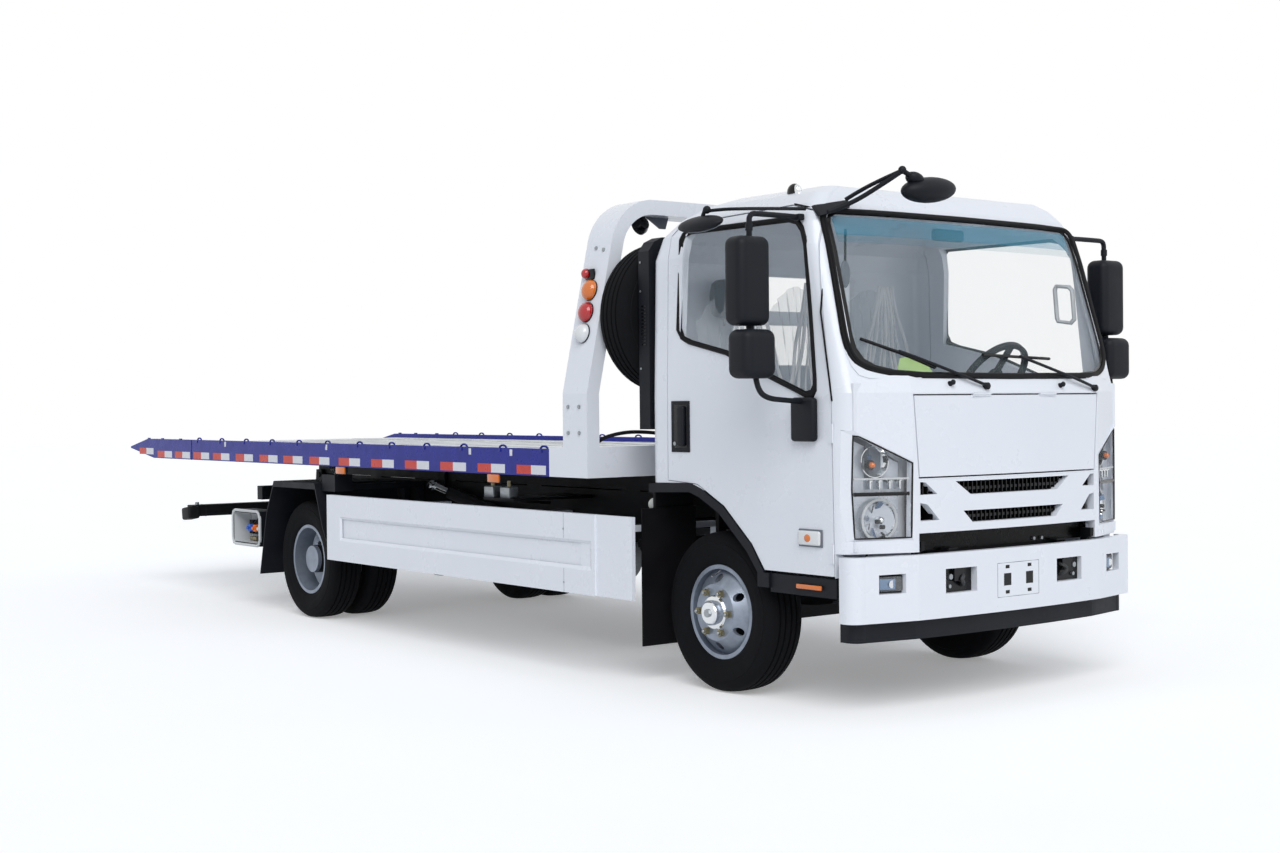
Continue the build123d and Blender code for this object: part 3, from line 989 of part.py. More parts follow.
# Winch at the front of the bed
WINCH_Z = 1330.0
WINCH_SHAFT = 22.0
with BuildPart() as winch:
    block(-360, 360, WINCH_Y - WINCH_HALF_DEPTH, WINCH_Y + WINCH_HALF_DEPTH,
          DECK_TOP - WINCH_BAY_STEP + SEAT_GAP, DECK_TOP + 20)
    for side in (1, -1):
        block(side * 190, side * 210, WINCH_Y - 100, WINCH_Y + 100, DECK_TOP + 19, WINCH_Z + 110)
    cross_pin(210, 330, WINCH_Y, WINCH_Z, 85)
    cross_pin(-300, -210, WINCH_Y, WINCH_Z, 70)
    cross_pin(-260, 260, WINCH_Y, WINCH_Z, WINCH_SHAFT + PIN_FIT, Mode.SUBTRACT)
finish(winch.part, "winch")
with BuildPart() as winch_drum:
    cross_pin(-178, 178, WINCH_Y, WINCH_Z, 78)
    cross_pin(-184, -172, WINCH_Y, WINCH_Z, 108)
    cross_pin(172, 184, WINCH_Y, WINCH_Z, 108)
    cross_pin(-250, 250, WINCH_Y, WINCH_Z, WINCH_SHAFT)
finish(winch_drum.part, "winch_drum")

# Underlift: outer boom on its pin, inner boom sliding in it with the crossbar
BOOM_LOW = BOOM_CENTRE_Z - BOOM_HEIGHT / 2
BOOM_HIGH = BOOM_CENTRE_Z + BOOM_HEIGHT / 2
with BuildPart() as lift_boom:
    block(-BOOM_WIDTH / 2, BOOM_WIDTH / 2, BOOM_FRONT_Y, BOOM_REAR_Y, BOOM_LOW, BOOM_HIGH)
    block(-BOOM_WIDTH / 2 + BOOM_WALL, BOOM_WIDTH / 2 - BOOM_WALL, BOOM_FRONT_Y + 20, BOOM_REAR_Y + 1,
          BOOM_LOW + BOOM_WALL, BOOM_HIGH - BOOM_WALL, Mode.SUBTRACT)
    cross_pin(-BOOM_WIDTH, BOOM_WIDTH, LIFT_PIVOT_Y, LIFT_PIVOT_Z, LIFT_PIN_RADIUS + PIN_FIT, Mode.SUBTRACT)
finish(lift_boom.part, "lift_boom")

CROSSBAR_LOW = BOOM_CENTRE_Z - CROSSBAR_HEIGHT / 2
CROSSBAR_HIGH = BOOM_CENTRE_Z + CROSSBAR_HEIGHT / 2
ARM_PIN_RADIUS = 16.0
with BuildPart() as lift_crossbar:
    fit_x = BOOM_WIDTH / 2 - BOOM_WALL - SEAT_GAP
    block(-fit_x, fit_x, LIFT_PIVOT_Y + 60, CROSSBAR_Y - CROSSBAR_DEPTH / 2 + 1,
          BOOM_LOW + BOOM_WALL + SEAT_GAP, BOOM_HIGH - BOOM_WALL - SEAT_GAP)
    block(-CROSSBAR_HALF, CROSSBAR_HALF, CROSSBAR_Y - CROSSBAR_DEPTH / 2, CROSSBAR_Y + CROSSBAR_DEPTH / 2,
          CROSSBAR_LOW, CROSSBAR_HIGH)
    for side in (1, -1):
        with Locations((side * (CROSSBAR_HALF - 60), CROSSBAR_Y, BOOM_CENTRE_Z)):
            Cylinder(ARM_PIN_RADIUS, CROSSBAR_HEIGHT + 2, mode=Mode.SUBTRACT)
finish(lift_crossbar.part, "lift_crossbar")
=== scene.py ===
"""Looks of the flatbed tow truck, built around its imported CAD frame.

Metres. Front of the truck faces -Y, +X is its left side, +Z is up.
"""

import json
from math import cos, pi, radians, sin

import bmesh
import bpy
from mathutils import Matrix, Vector
from mathutils.bvhtree import BVHTree


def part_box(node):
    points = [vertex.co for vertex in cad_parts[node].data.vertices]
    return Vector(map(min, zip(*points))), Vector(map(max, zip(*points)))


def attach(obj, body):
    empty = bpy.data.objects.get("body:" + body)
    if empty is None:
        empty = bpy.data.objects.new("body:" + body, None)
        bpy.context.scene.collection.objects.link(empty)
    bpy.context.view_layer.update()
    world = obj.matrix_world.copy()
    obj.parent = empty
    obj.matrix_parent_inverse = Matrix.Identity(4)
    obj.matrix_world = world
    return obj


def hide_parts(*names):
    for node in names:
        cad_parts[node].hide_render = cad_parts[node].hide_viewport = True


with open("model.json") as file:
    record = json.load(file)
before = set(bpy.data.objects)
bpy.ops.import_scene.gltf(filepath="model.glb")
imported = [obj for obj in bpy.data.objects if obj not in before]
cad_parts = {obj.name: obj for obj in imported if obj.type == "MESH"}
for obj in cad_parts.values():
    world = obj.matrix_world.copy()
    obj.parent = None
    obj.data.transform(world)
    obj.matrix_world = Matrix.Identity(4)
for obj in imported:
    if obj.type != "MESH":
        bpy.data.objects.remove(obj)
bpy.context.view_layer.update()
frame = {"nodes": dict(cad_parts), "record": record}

bl_info = {
    "name": "Flatbed tow truck looks",
    "version": (1, 0, 0),
    "blender": (4, 5, 0),
    "location": "3D View > Sidebar > Tow truck",
    "description": "Adds trim, lamps, wheels, interior and finishes to the flatbed tow truck frame",
    "category": "Object",
}

BOTH_SIDES = ((1, "left"), (-1, "right"))
SIGNS = (1, -1)
FINISHES = {}
FLOOR_GLOW = 0.27  # what the floor adds to the rays that show it

# The camera that took the photograph, solved from straight edges and mirrored pairs
PHOTO_WIDTH, FOCAL_LENGTH = 1280, 1731.847  # pixels
SENSOR_WIDTH = 36.0  # millimetres
CAMERA_PLACE = (-6.513, -9.549, 1.438)
CAMERA_TURN = (37.831, -0.752, -0.568)  # yaw, pitch and roll in degrees

# Places on the truck that several pieces share
GLASS_MIDDLE_Z = 1.94  # the windscreen's half height, towards which its border shrinks
INSIDE_Y = -3.0  # what a ray from the front meets behind this is the inside of the cab
FRONT_Y = -4.0  # where a piece goes that no ray finds a place for
DOOR_X = 0.998  # outer face of the doors
BRACKET_X = (0.360, 0.425)  # the bumper's brackets, which the tow openings show
AXLE_Z, FRONT_AXLE_Y, REAR_AXLE_Y = 0.400, -3.000, 1.175
FRONT_TYRE_X, REAR_TYRE_XS = 0.840, (0.965, 0.685)
STUDS, STUD_CIRCLE = 6, 0.1111  # number, and the radius that they stand on
RAIL_X = 1.149  # outer face of the bed's rails
TAIL_Y, TAIL_RISE = 3.634, 0.13  # behind here the tape climbs with the tail, per metre
GANTRY_KNEE_Z, GANTRY_LEAN = 1.494, 0.2155  # above the knee the posts lean inwards, per metre
SEAT_BASE_Z = 1.0793
CONTROL_BOX_X = 1.120
SKIRT_X = 1.1922


# Finishes

def linear(hex_colour, alpha=1.0):
    """A #RRGGBB sRGB colour as linear RGBA."""
    values = [int(hex_colour[i:i + 2], 16) / 255 for i in (1, 3, 5)]
    return [v / 12.92 if v <= 0.04045 else ((v + 0.055) / 1.055) ** 2.4 for v in values] + [alpha]


def node(tree, kind, inputs=None, **settings):
    """Adds one node with its settings. A value given for an input sets it, and a socket links to it."""
    made = tree.nodes.new(kind)
    for key, value in settings.items():
        setattr(made, key, value)
    for key, value in (inputs or {}).items():
        if isinstance(value, bpy.types.NodeSocket):
            tree.links.new(value, made.inputs[key])
        else:
            made.inputs[key].default_value = value
    return made


def per_metre(millimetres):
    """The texture scale at which a pattern repeats every so many millimetres."""
    return 1000.0 / millimetres


def finish(name, colour, roughness, metallic=0.0, dirt=None, dirt_share=0.35, dirt_size=180.0, grain=0.0,
           grain_size=4.0, rough_spread=0.08, stretch=(1, 1, 1), cells=0.0, **shader):
    """A surface whose colour drifts towards dirt, with uneven gloss and a grain or cells in its relief.

    Sizes are in millimetres. stretch scales the pattern along X, Y and Z, as on brushed metal.
    """
    material = bpy.data.materials.new(name)
    material.use_nodes = True
    material.diffuse_color = linear(colour)
    tree = material.node_tree
    tree.nodes.clear()
    coords = node(tree, "ShaderNodeTexCoord").outputs["Object"]
    mapped = node(tree, "ShaderNodeMapping", {"Vector": coords, "Scale": stretch}).outputs["Vector"]
    drift = node(tree, "ShaderNodeTexNoise", {"Vector": mapped, "Scale": per_metre(dirt_size), "Detail": 6.0,
                                              "Roughness": 0.62}).outputs["Fac"]
    inputs = {"Base Color": linear(colour), "Metallic": metallic}
    if dirt:
        mask = node(tree, "ShaderNodeMapRange", {"Value": drift, "From Min": 0.42, "From Max": 0.72,
                                                 "To Min": 0.0, "To Max": dirt_share}).outputs["Result"]
        inputs["Base Color"] = node(tree, "ShaderNodeMixRGB", {"Fac": mask, "Color1": linear(colour),
                                                               "Color2": linear(dirt)}).outputs["Color"]
    inputs["Roughness"] = node(tree, "ShaderNodeMapRange", {
        "Value": drift, "From Min": 0.3, "From Max": 0.7, "To Min": max(0.02, roughness - rough_spread),
        "To Max": min(1.0, roughness + rough_spread)}).outputs["Result"]
    relief = None
    if cells:
        relief = node(tree, "ShaderNodeTexVoronoi", {"Vector": mapped, "Scale": per_metre(cells),
                                                     "Randomness": 0.15}, feature="DISTANCE_TO_EDGE")
        relief = relief.outputs["Distance"]
    elif grain:
        relief = node(tree, "ShaderNodeTexNoise", {"Vector": mapped, "Scale": per_metre(grain_size),
                                                   "Detail": 3.0}).outputs["Fac"]
    if relief is not None:
        inputs["Normal"] = node(tree, "ShaderNodeBump", {"Height": relief, "Strength": grain or 0.3,
                                                         "Distance": 0.0008}).outputs["Normal"]
    inputs.update(shader)
    surface = node(tree, "ShaderNodeBsdfPrincipled", inputs)
    node(tree, "ShaderNodeOutputMaterial", {"Surface": surface.outputs["BSDF"]})
    FINISHES[name] = material
    return material


# Shapes

class Piece:
    """One mesh under construction, each of whose shapes is made with bmesh operators."""

    def __init__(self, name, body, slot):
        self.name, self.body, self.slot = name, body, slot
        self.bm = bmesh.new()
        self.finishes = []

    def paint(self, before, look):
        """Gives every face that was not in before the finish called look."""
        if look not in self.finishes:
            self.finishes.append(look)
        index = self.finishes.index(look)
        for face in self.bm.faces:
            if face not in before:
                face.material_index = index

    def bevel(self, verts, width, segments=2):
        """Rounds every edge between the verts."""
        chosen = set(verts)
        edges = [e for e in self.bm.edges if e.verts[0] in chosen and e.verts[1] in chosen]
        bmesh.ops.bevel(self.bm, geom=edges, offset=width, segments=segments, profile=0.5, affect="EDGES",
                        material=-1, clamp_overlap=True)

    def box(self, low, high, look, round_by=0.0, turn=None, segments=2):
        """A box between two corners. turn is (axis, degrees, point)."""
        before = set(self.bm.faces)
        low, high = (Vector([f(a, b) for a, b in zip(low, high)]) for f in (min, max))
        verts = bmesh.ops.create_cube(self.bm, size=1.0)["verts"]
        bmesh.ops.scale(self.bm, vec=high - low, verts=verts)
        bmesh.ops.translate(self.bm, vec=(low + high) / 2, verts=verts)
        if turn:
            bmesh.ops.rotate(self.bm, cent=Vector(turn[2]), matrix=Matrix.Rotation(radians(turn[1]), 3,
                                                                                   turn[0]), verts=verts)
        if round_by:
            self.bevel(verts, round_by, segments)
        self.paint(before, look)

    def rod(self, start, end, radius, look, end_radius=None, sides=20):
        """A round bar or a cone between two points."""
        before = set(self.bm.faces)
        start, end = Vector(start), Vector(end)
        run = end - start
        place = Matrix.Translation((start + end) / 2) @ run.to_track_quat("Z", "Y").to_matrix().to_4x4()
        bmesh.ops.create_cone(self.bm, cap_ends=True, segments=sides, radius1=radius,
                              radius2=radius if end_radius is None else end_radius, depth=run.length,
                              matrix=place)
        self.paint(before, look)

    def ball(self, centre, radii, look, rows=12, turn=None):
        """An ellipsoid. turn is (axis, degrees)."""
        before = set(self.bm.faces)
        verts = bmesh.ops.create_uvsphere(self.bm, u_segments=2 * rows, v_segments=rows, radius=1.0)["verts"]
        bmesh.ops.scale(self.bm, vec=Vector(radii), verts=verts)
        if turn:
            bmesh.ops.rotate(self.bm, matrix=Matrix.Rotation(radians(turn[1]), 3, turn[0]), verts=verts)
        bmesh.ops.translate(self.bm, vec=Vector(centre), verts=verts)
        self.paint(before, look)

    def plate(self, points, push, look, round_by=0.0):
        """A flat outline of 3D points, thickened along push."""
        before = set(self.bm.faces)
        verts = [self.bm.verts.new(p) for p in points]
        face = self.bm.faces.new(verts)
        moved = bmesh.ops.extrude_face_region(self.bm, geom=[face])["geom"]
        tops = [v for v in moved if isinstance(v, bmesh.types.BMVert)]
        bmesh.ops.translate(self.bm, vec=Vector(push), verts=tops)
        made = [f for f in self.bm.faces if f not in before]
        bmesh.ops.recalc_face_normals(self.bm, faces=made)
        if round_by:
            self.bevel(verts + tops, round_by)
        self.paint(before, look)

    def turned(self, outline, centre, axis, look, sides=48):
        """A shape turned on a lathe. outline is a closed loop of (radius, place along the axis)."""
        before = set(self.bm.faces)
        axis = Vector(axis).normalized()
        out = axis.orthogonal().normalized()
        centre = Vector(centre)
        verts = [self.bm.verts.new(centre + out * r + axis * a) for r, a in outline]
        edges = [self.bm.edges.new((verts[i - 1], verts[i])) for i in range(len(verts))]
        bmesh.ops.spin(self.bm, geom=verts + edges, cent=centre, axis=axis, angle=2 * pi, steps=sides,
                       use_merge=True)
        made = [f for f in self.bm.faces if f not in before]
        ring = list({v for f in made for v in f.verts})
        bmesh.ops.remove_doubles(self.bm, verts=ring, dist=0.00002)
        made = [f for f in self.bm.faces if f not in before]
        bmesh.ops.recalc_face_normals(self.bm, faces=made)
        self.paint(before, look)

    def tube(self, points, radius, look, smooth=True, sides=10, closed=False):
        """A bent tube through points, made by Blender's own curve bevel."""
        before = set(self.bm.faces)
        curve = bpy.data.curves.new("tube", "CURVE")
        curve.dimensions = "3D"
        curve.bevel_depth = radius
        curve.bevel_resolution = max(0, sides // 4 - 1)
        curve.resolution_u = 8
        curve.use_fill_caps = not closed
        spline = curve.splines.new("NURBS" if smooth else "POLY")
        spline.points.add(len(points) - 1)
        for place, point in zip(spline.points, points):
            place.co = (*point, 1.0)
        spline.use_cyclic_u = closed
        if smooth:
            spline.order_u = 3
            spline.use_endpoint_u = not closed
        holder = bpy.data.objects.new("tube", curve)
        mesh = bpy.data.meshes.new_from_object(holder)
        self.bm.from_mesh(mesh)
        bpy.data.objects.remove(holder)
        bpy.data.curves.remove(curve)
        bpy.data.meshes.remove(mesh)
        self.paint(before, look)

    def sheet(self, across, up, rows, place, look, thickness=0.0):
        """A grid whose corners run over two ranges; place(a, b) gives each point."""
        before = set(self.bm.faces)
        verts = bmesh.ops.create_grid(self.bm, x_segments=rows[0], y_segments=rows[1], size=0.5)["verts"]
        for vert in verts:
            a = across[0] + (vert.co.x + 0.5) * (across[1] - across[0])
            b = up[0] + (vert.co.y + 0.5) * (up[1] - up[0])
            vert.co = place(a, b)
        made = [f for f in self.bm.faces if f not in before]
        if thickness:
            bmesh.ops.solidify(self.bm, geom=made, thickness=thickness)
            made = [f for f in self.bm.faces if f not in before]
        bmesh.ops.recalc_face_normals(self.bm, faces=made)
        self.paint(before, look)

    def band(self, outer, inner, look):
        """A strip between two closed rings of points."""
        before = set(self.bm.faces)
        edges = []
        for ring in (outer, inner):
            verts = [self.bm.verts.new(p) for p in ring]
            edges += [self.bm.edges.new((verts[i - 1], verts[i])) for i in range(len(verts))]
        bmesh.ops.bridge_loops(self.bm, edges=edges)
        made = [f for f in self.bm.faces if f not in before]
        bmesh.ops.recalc_face_normals(self.bm, faces=made)
        self.paint(before, look)

    def fill(self, ring, look):
        """A skin over a closed ring of points."""
        before = set(self.bm.faces)
        verts = [self.bm.verts.new(p) for p in ring]
        edges = [self.bm.edges.new((verts[i - 1], verts[i])) for i in range(len(verts))]
        bmesh.ops.triangle_fill(self.bm, use_beauty=True, edges=edges)
        self.paint(before, look)

    def dish(self, centre, facing, radius, depth, look):
        """A lamp's bowl: a shallow cone with a rim, open towards facing."""
        self.turned([(0.0, -depth), (radius * 0.45, -depth * 0.86), (radius * 0.8, -depth * 0.45),
                     (radius, 0.0), (radius + 0.004, 0.0), (radius * 0.84, -depth * 0.55),
                     (radius * 0.5, -depth - 0.003), (0.0, -depth - 0.005)], centre, facing, look, 40)

    def cushion(self, centre, half, look, crown, turn=None):
        """A crowned pad: a rounded block whose faces swell and whose sides pull in between its corners."""
        before = set(self.bm.faces)
        known = set(self.bm.verts)
        verts = bmesh.ops.create_cube(self.bm, size=2.0)["verts"]
        edges = list({e for v in verts for e in v.link_edges})
        bmesh.ops.subdivide_edges(self.bm, edges=edges, cuts=9, use_grid_fill=True)
        verts = [v for v in self.bm.verts if v not in known]
        for vert in verts:
            x, y, z = vert.co
            length = max(1e-6, (x ** 8 + y ** 8 + z ** 8) ** 0.125)
            swell = 1.0 - crown * 0.5 * (x * x * y * y + y * y * z * z + z * z * x * x) / 3
            vert.co = Vector((x * half[0], y * half[1], z * half[2])) * (swell / length)
        if turn:
            bmesh.ops.rotate(self.bm, matrix=Matrix.Rotation(radians(turn[1]), 3, turn[0]), verts=verts)
        bmesh.ops.translate(self.bm, vec=Vector(centre), verts=verts)
        self.paint(before, look)

    def drape(self, centre, half, look):
        """Loose film hung over a seat's back: a wrinkled curved sheet."""
        def place(a, b):
            fold = 0.012 * sin(26 * a + 3 * b) + 0.008 * sin(41 * a - 7 * b)
            return Vector((centre[0] + a * half[0], centre[1] - 0.02 + 0.05 * a * a + fold + 0.05 * (b + 1),
                           centre[2] + b * half[1] - 0.10 * a * a * (b + 1)))
        self.sheet((-1, 1), (-1, 1), (28, 16), place, look)

    def done(self, smooth=35.0, stands_for=()):
        """Turns the bmesh into an object at the origin that rides on its body."""
        mesh = bpy.data.meshes.new(self.name)
        self.bm.to_mesh(mesh)
        self.bm.free()
        for look in self.finishes:
            mesh.materials.append(FINISHES[look])
        made = bpy.data.objects.new(self.name, mesh)
        bpy.context.collection.objects.link(made)
        for polygon in mesh.polygons:
            polygon.use_smooth = True
        mesh.set_sharp_from_angle(angle=radians(smooth))
        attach(made, self.body)
        if stands_for:
            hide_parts(*stands_for)
        return made


def mesh_tree(names):
    """A tree of the faces of some CAD nodes, for finding places on their surface."""
    verts, faces = [], []
    for name in names:
        mesh = frame["nodes"][name].data
        offset = len(verts)
        verts.extend(v.co.copy() for v in mesh.vertices)
        faces.extend([offset + i for i in p.vertices] for p in mesh.polygons)
    return BVHTree.FromPolygons(verts, faces)


FRONT = mesh_tree(("cab_shell", "cab_glass", "front_lid", "grille", "headlamps"))
GLASS = mesh_tree(("cab_glass",))
BUMPER = mesh_tree(("bumper",))
ROOF = mesh_tree(("cab_shell",))
SIDES = {1: mesh_tree(("cab_shell", "door_left", "door_glass_left")),
         -1: mesh_tree(("cab_shell", "door_right", "door_glass_right"))}


def on_front(x, z, proud=0.0, tree=None):
    """The point of the cab's front at x and z, moved forward by proud.

    A ray that slips through a gap is sent again, a little nearer the windscreen's middle.
    """
    for nudge in (0.0, 0.004, 0.008, 0.016, 0.032):
        start = Vector((x * (1 - nudge), -6.0, z + (GLASS_MIDDLE_Z - z) * nudge))
        for skin in (tree or FRONT, FRONT):
            hit = skin.ray_cast(start, Vector((0, 1, 0)))[0]
            if hit and hit.y < INSIDE_Y:
                return Vector((x, hit.y - proud, z))
    return Vector((x, FRONT_Y - proud, z))


def on_side(side, y, z, proud=0.0):
    """The point of the cab's side at y and z, moved outwards by proud."""
    hit = SIDES[side].ray_cast(Vector((side * 3.0, y, z)), Vector((-side, 0, 0)))[0]
    if hit is None:
        return Vector((side * (DOOR_X + proud), y, z))
    return hit + Vector((side * proud, 0, 0))


def ring_points(corners, spacing=0.06):
    """Points along a closed outline, no further apart than spacing, with its corners kept."""
    points = []
    for index, corner in enumerate(corners):
        a, b = Vector(corner), Vector(corners[(index + 1) % len(corners)])
        steps = max(1, int((b - a).length / spacing))
        points.extend(a.lerp(b, k / steps) for k in range(steps))
    return points


def handed(points, side):
    """The points as given, for the right of the truck, or mirrored to its left."""
    return [Vector((-side * p[0], p[1], p[2])) for p in points]


def post_x(z):
    """How far the gantry posts' outer faces are from the middle at a height."""
    return RAIL_X - GANTRY_LEAN * max(0.0, z - GANTRY_KNEE_Z)


# Sizes and colours that a user would change

class CabSizes(bpy.types.PropertyGroup):
    """Sizes of the cab's trim."""
    seal_radius: bpy.props.FloatProperty(
        name="Seal radius", description="Radius of the rubber round the windscreen", default=0.011,
        unit="LENGTH")
    tint_height: bpy.props.FloatProperty(
        name="Tint band", description="Height of the tinted band at the top of the windscreen", default=0.090,
        unit="LENGTH")


class BedSizes(bpy.types.PropertyGroup):
    """Sizes of the bed's markings."""
    tape_length: bpy.props.FloatProperty(
        name="Tape length", description="Length of one red and white reflective tape", default=0.30,
        unit="LENGTH")
    tape_height: bpy.props.FloatProperty(
        name="Tape height", description="Height of the reflective tape", default=0.05, unit="LENGTH")


class PaintColours(bpy.types.PropertyGroup):
    """The paints that a user would change."""
    cab: bpy.props.StringProperty(name="Cab paint", description="sRGB colour of the cab", default="#E4E8EF")
    rail: bpy.props.StringProperty(name="Rail paint", description="sRGB colour of the bed's rails",
                                   default="#13208C")


# Finishes of the carried-over nodes, and the stage

class TruckFinishes(bpy.types.Operator):
    """Makes every finish and gives each carried-over CAD node its own"""
    bl_idname = "towtruck.finishes"
    bl_label = "Finishes"

    def execute(self, context):
        """Builds the materials and assigns them."""
        paints = context.scene.tow_paints
        # Acrylic enamel over steel panels: bright gloss under a clear coat, with faint road film
        finish("white_enamel", paints.cab, 0.3, dirt="#D3D8E0", dirt_share=0.12, dirt_size=420,
               **{"Coat Weight": 0.15, "Coat Roughness": 0.08})
        # Acrylic enamel in cobalt blue on the folded rails: deep, with scuffs
        finish("cobalt_enamel", paints.rail, 0.3, dirt="#101A66", dirt_share=0.5, dirt_size=90, grain=0.04,
               grain_size=3.0, **{"Specular IOR Level": 0.25})
        # Chassis black: satin alkyd on hot-rolled steel, dusty
        finish("chassis_black", "#101114", 0.5, dirt="#1E1E20", dirt_share=0.45, dirt_size=120, grain=0.12,
               grain_size=3.5, **{"Specular IOR Level": 0.15})
        # White alkyd enamel on the deck plates: satin, greyed by tyres
        finish("deck_enamel", "#DFE2E4", 0.42, dirt="#A9ABAA", dirt_share=0.55, dirt_size=140, grain=0.08,
               grain_size=3.0)
        # Silver powder coat on pressed steel wheels: satin with a metal glint
        finish("wheel_silver", "#8F98A6", 0.36, metallic=0.55, dirt="#5F6670", dirt_share=0.4, dirt_size=60,
               grain=0.05, grain_size=1.5)
        # Sand-cast iron: rough grey-black skin
        finish("cast_iron", "#3A3C3E", 0.68, metallic=0.5, dirt="#55504A", dirt_share=0.4, dirt_size=70,
               grain=0.4, grain_size=2.2)
        # Zinc-plated steel: pale grey with a dull lustre
        finish("zinc_plate", "#9CA1A5", 0.36, metallic=0.9, dirt="#7C7F80", dirt_share=0.5, dirt_size=40,
               grain=0.1, grain_size=1.2, stretch=(1, 1, 6))
        # Yellow chromate on the wheel nuts: dull brass
        finish("chromate_nut", "#8E8568", 0.36, metallic=0.7, dirt="#6E6750", dirt_share=0.4, dirt_size=20)
        # Hard chrome on cylinder rods and lamp bowls: mirror bright
        finish("hard_chrome", "#DDE0E2", 0.09, metallic=1.0, rough_spread=0.03, dirt="#C4C7C9",
               dirt_share=0.2)
        # Carbon-black tyre rubber: matte, with dust in the sidewall
        finish("tyre_rubber", "#0E0F12", 0.86, dirt="#18181B", dirt_share=0.5, dirt_size=90, grain=0.25,
               grain_size=1.6, **{"Specular IOR Level": 0.12})
        # Extruded EPDM of the seals, flaps and hoses: soft black with little shine
        finish("epdm_rubber", "#0D0D10", 0.62, dirt="#17171B", dirt_share=0.4, grain=0.12, grain_size=1.5,
               **{"Specular IOR Level": 0.15})
        # Moulded polypropylene with a fine grain: satin black
        finish("black_polypropylene", "#10131A", 0.52, dirt="#171A20", dirt_share=0.4, grain=0.28,
               grain_size=1.4, **{"Specular IOR Level": 0.2})
        # Moulded ABS straight from a polished tool: near black with a soft shine
        finish("gloss_black_abs", "#0A0B0D", 0.25, dirt="#121316", dirt_share=0.3,
               **{"Specular IOR Level": 0.3})
        # Grey moulded polypropylene: dull, with the tool's grain
        finish("grey_polypropylene", "#5A616C", 0.55, dirt="#8C8F91", dirt_share=0.4, grain=0.25,
               grain_size=1.5)
        # Pale grey moulded ABS: smooth satin
        finish("pale_grey_abs", "#C9CCCE", 0.4, dirt="#B2B4B4", dirt_share=0.4, grain=0.1, grain_size=2.0)
        # Blow-moulded polyethylene: waxy white
        finish("white_polyethylene", "#E3E4E0", 0.45, dirt="#C9C8C0", dirt_share=0.5, grain=0.1,
               grain_size=2.0)
        # Woven polyester seat cloth: dull, with a soft rim of light. Its weave is drawn coarser than it is
        finish("seat_cloth", "#3A4450", 0.9, dirt="#2C343E", dirt_share=0.6, dirt_size=30, cells=4.0,
               **{"Sheen Weight": 0.4})
        # Clear polythene film over the seats: crinkled and glossy
        finish("polythene_film", "#E9F0F5", 0.1, grain=1.0, grain_size=45.0, Alpha=0.28)
        # Laminated float glass with a green cast: clear, with sharp reflections
        finish("laminated_glass", "#C3D6DC", 0.03, rough_spread=0.01, Alpha=0.05,
               **{"Specular IOR Level": 0.9})
        # The blue shade band in the laminate's film, and its lower edge, where it fades out
        finish("tinted_glass", "#1F88A6", 0.05, rough_spread=0.02, Alpha=0.55)
        finish("faint_tint", "#3E8CA2", 0.05, rough_spread=0.02, Alpha=0.22)
        # Folds of the film, where several layers lie on each other: milky white
        finish("film_folds", "#FDFEFF", 0.15)
        # Painted reflection of the sky in the lamps' bowls and reflectors: steel blue
        finish("painted_sky_reflection", "#6F86A3", 0.2, metallic=0.6)
        # Aluminised housing behind the bowls: bright, without sharp reflections
        finish("lamp_silver", "#C6CBD3", 0.3, metallic=0.4)
        # Silvered float glass of the mirrors
        finish("mirror_glass", "#C9CED2", 0.04, metallic=1.0, rough_spread=0.01)
        # Moulded acrylic lenses: the coloured ones have small prisms inside, which break up the light
        finish("clear_acrylic", "#E8EDF0", 0.06, rough_spread=0.02, Alpha=0.08, **{"Specular IOR Level": 0.8})
        finish("amber_acrylic", "#D9701A", 0.18, cells=4.0, **{"Coat Weight": 0.6})
        finish("red_acrylic", "#B3151D", 0.18, cells=4.0, **{"Coat Weight": 0.6})
        finish("white_acrylic", "#DDE0E2", 0.18, cells=4.0, **{"Coat Weight": 0.6})
        # Prismatic reflective tape: honeycomb cells under film, slightly grey where they join
        finish("red_tape", "#C9301F", 0.32, dirt="#A8201A", dirt_share=0.4, dirt_size=40, cells=5.0)
        finish("white_tape", "#D9DBE2", 0.32, dirt="#C9CBCD", dirt_share=0.4, dirt_size=40, cells=5.0)
        # Moulded ABS knobs in plain signal colours
        finish("orange_abs", "#E9741E", 0.4, dirt="#C9641C", dirt_share=0.4)
        finish("blue_abs", "#2E63C8", 0.4, dirt="#2856AE", dirt_share=0.4)
        # Oiled steel wire rope: dark between its strands
        finish("wire_rope", "#6E7072", 0.45, metallic=0.8, dirt="#3E3D3A", dirt_share=0.6, dirt_size=8,
               grain=0.8, grain_size=3.0)
        # Uncoated green card: flat and pale
        finish("green_paper", "#B9D98A", 0.7, dirt="#8FB06B", dirt_share=0.4)
        slots = {"white_paint": "white_enamel", "blue_paint": "cobalt_enamel", "black_paint": "chassis_black",
                 "silver_paint": "wheel_silver", "cast_metal": "cast_iron", "bare_steel": "zinc_plate",
                 "chrome_rod": "hard_chrome", "tyre_rubber": "tyre_rubber", "flap_rubber": "epdm_rubber",
                 "black_plastic": "black_polypropylene", "grey_plastic": "grey_polypropylene",
                 "seat_cloth": "seat_cloth", "clear_glass": "laminated_glass", "lamp_lens": "clear_acrylic",
                 "deck_paint": "deck_enamel"}
        for part in frame["record"]["subparts"]:
            mesh = frame["nodes"][part["node"]].data
            mesh.materials.clear()
            # The control boxes are moulded in black, though their node is of grey plastic
            slot = "black_plastic" if part["node"] == "hydraulic_controls" else part["material_slot"]
            mesh.materials.append(FINISHES[slots[slot]])
        return {"FINISHED"}


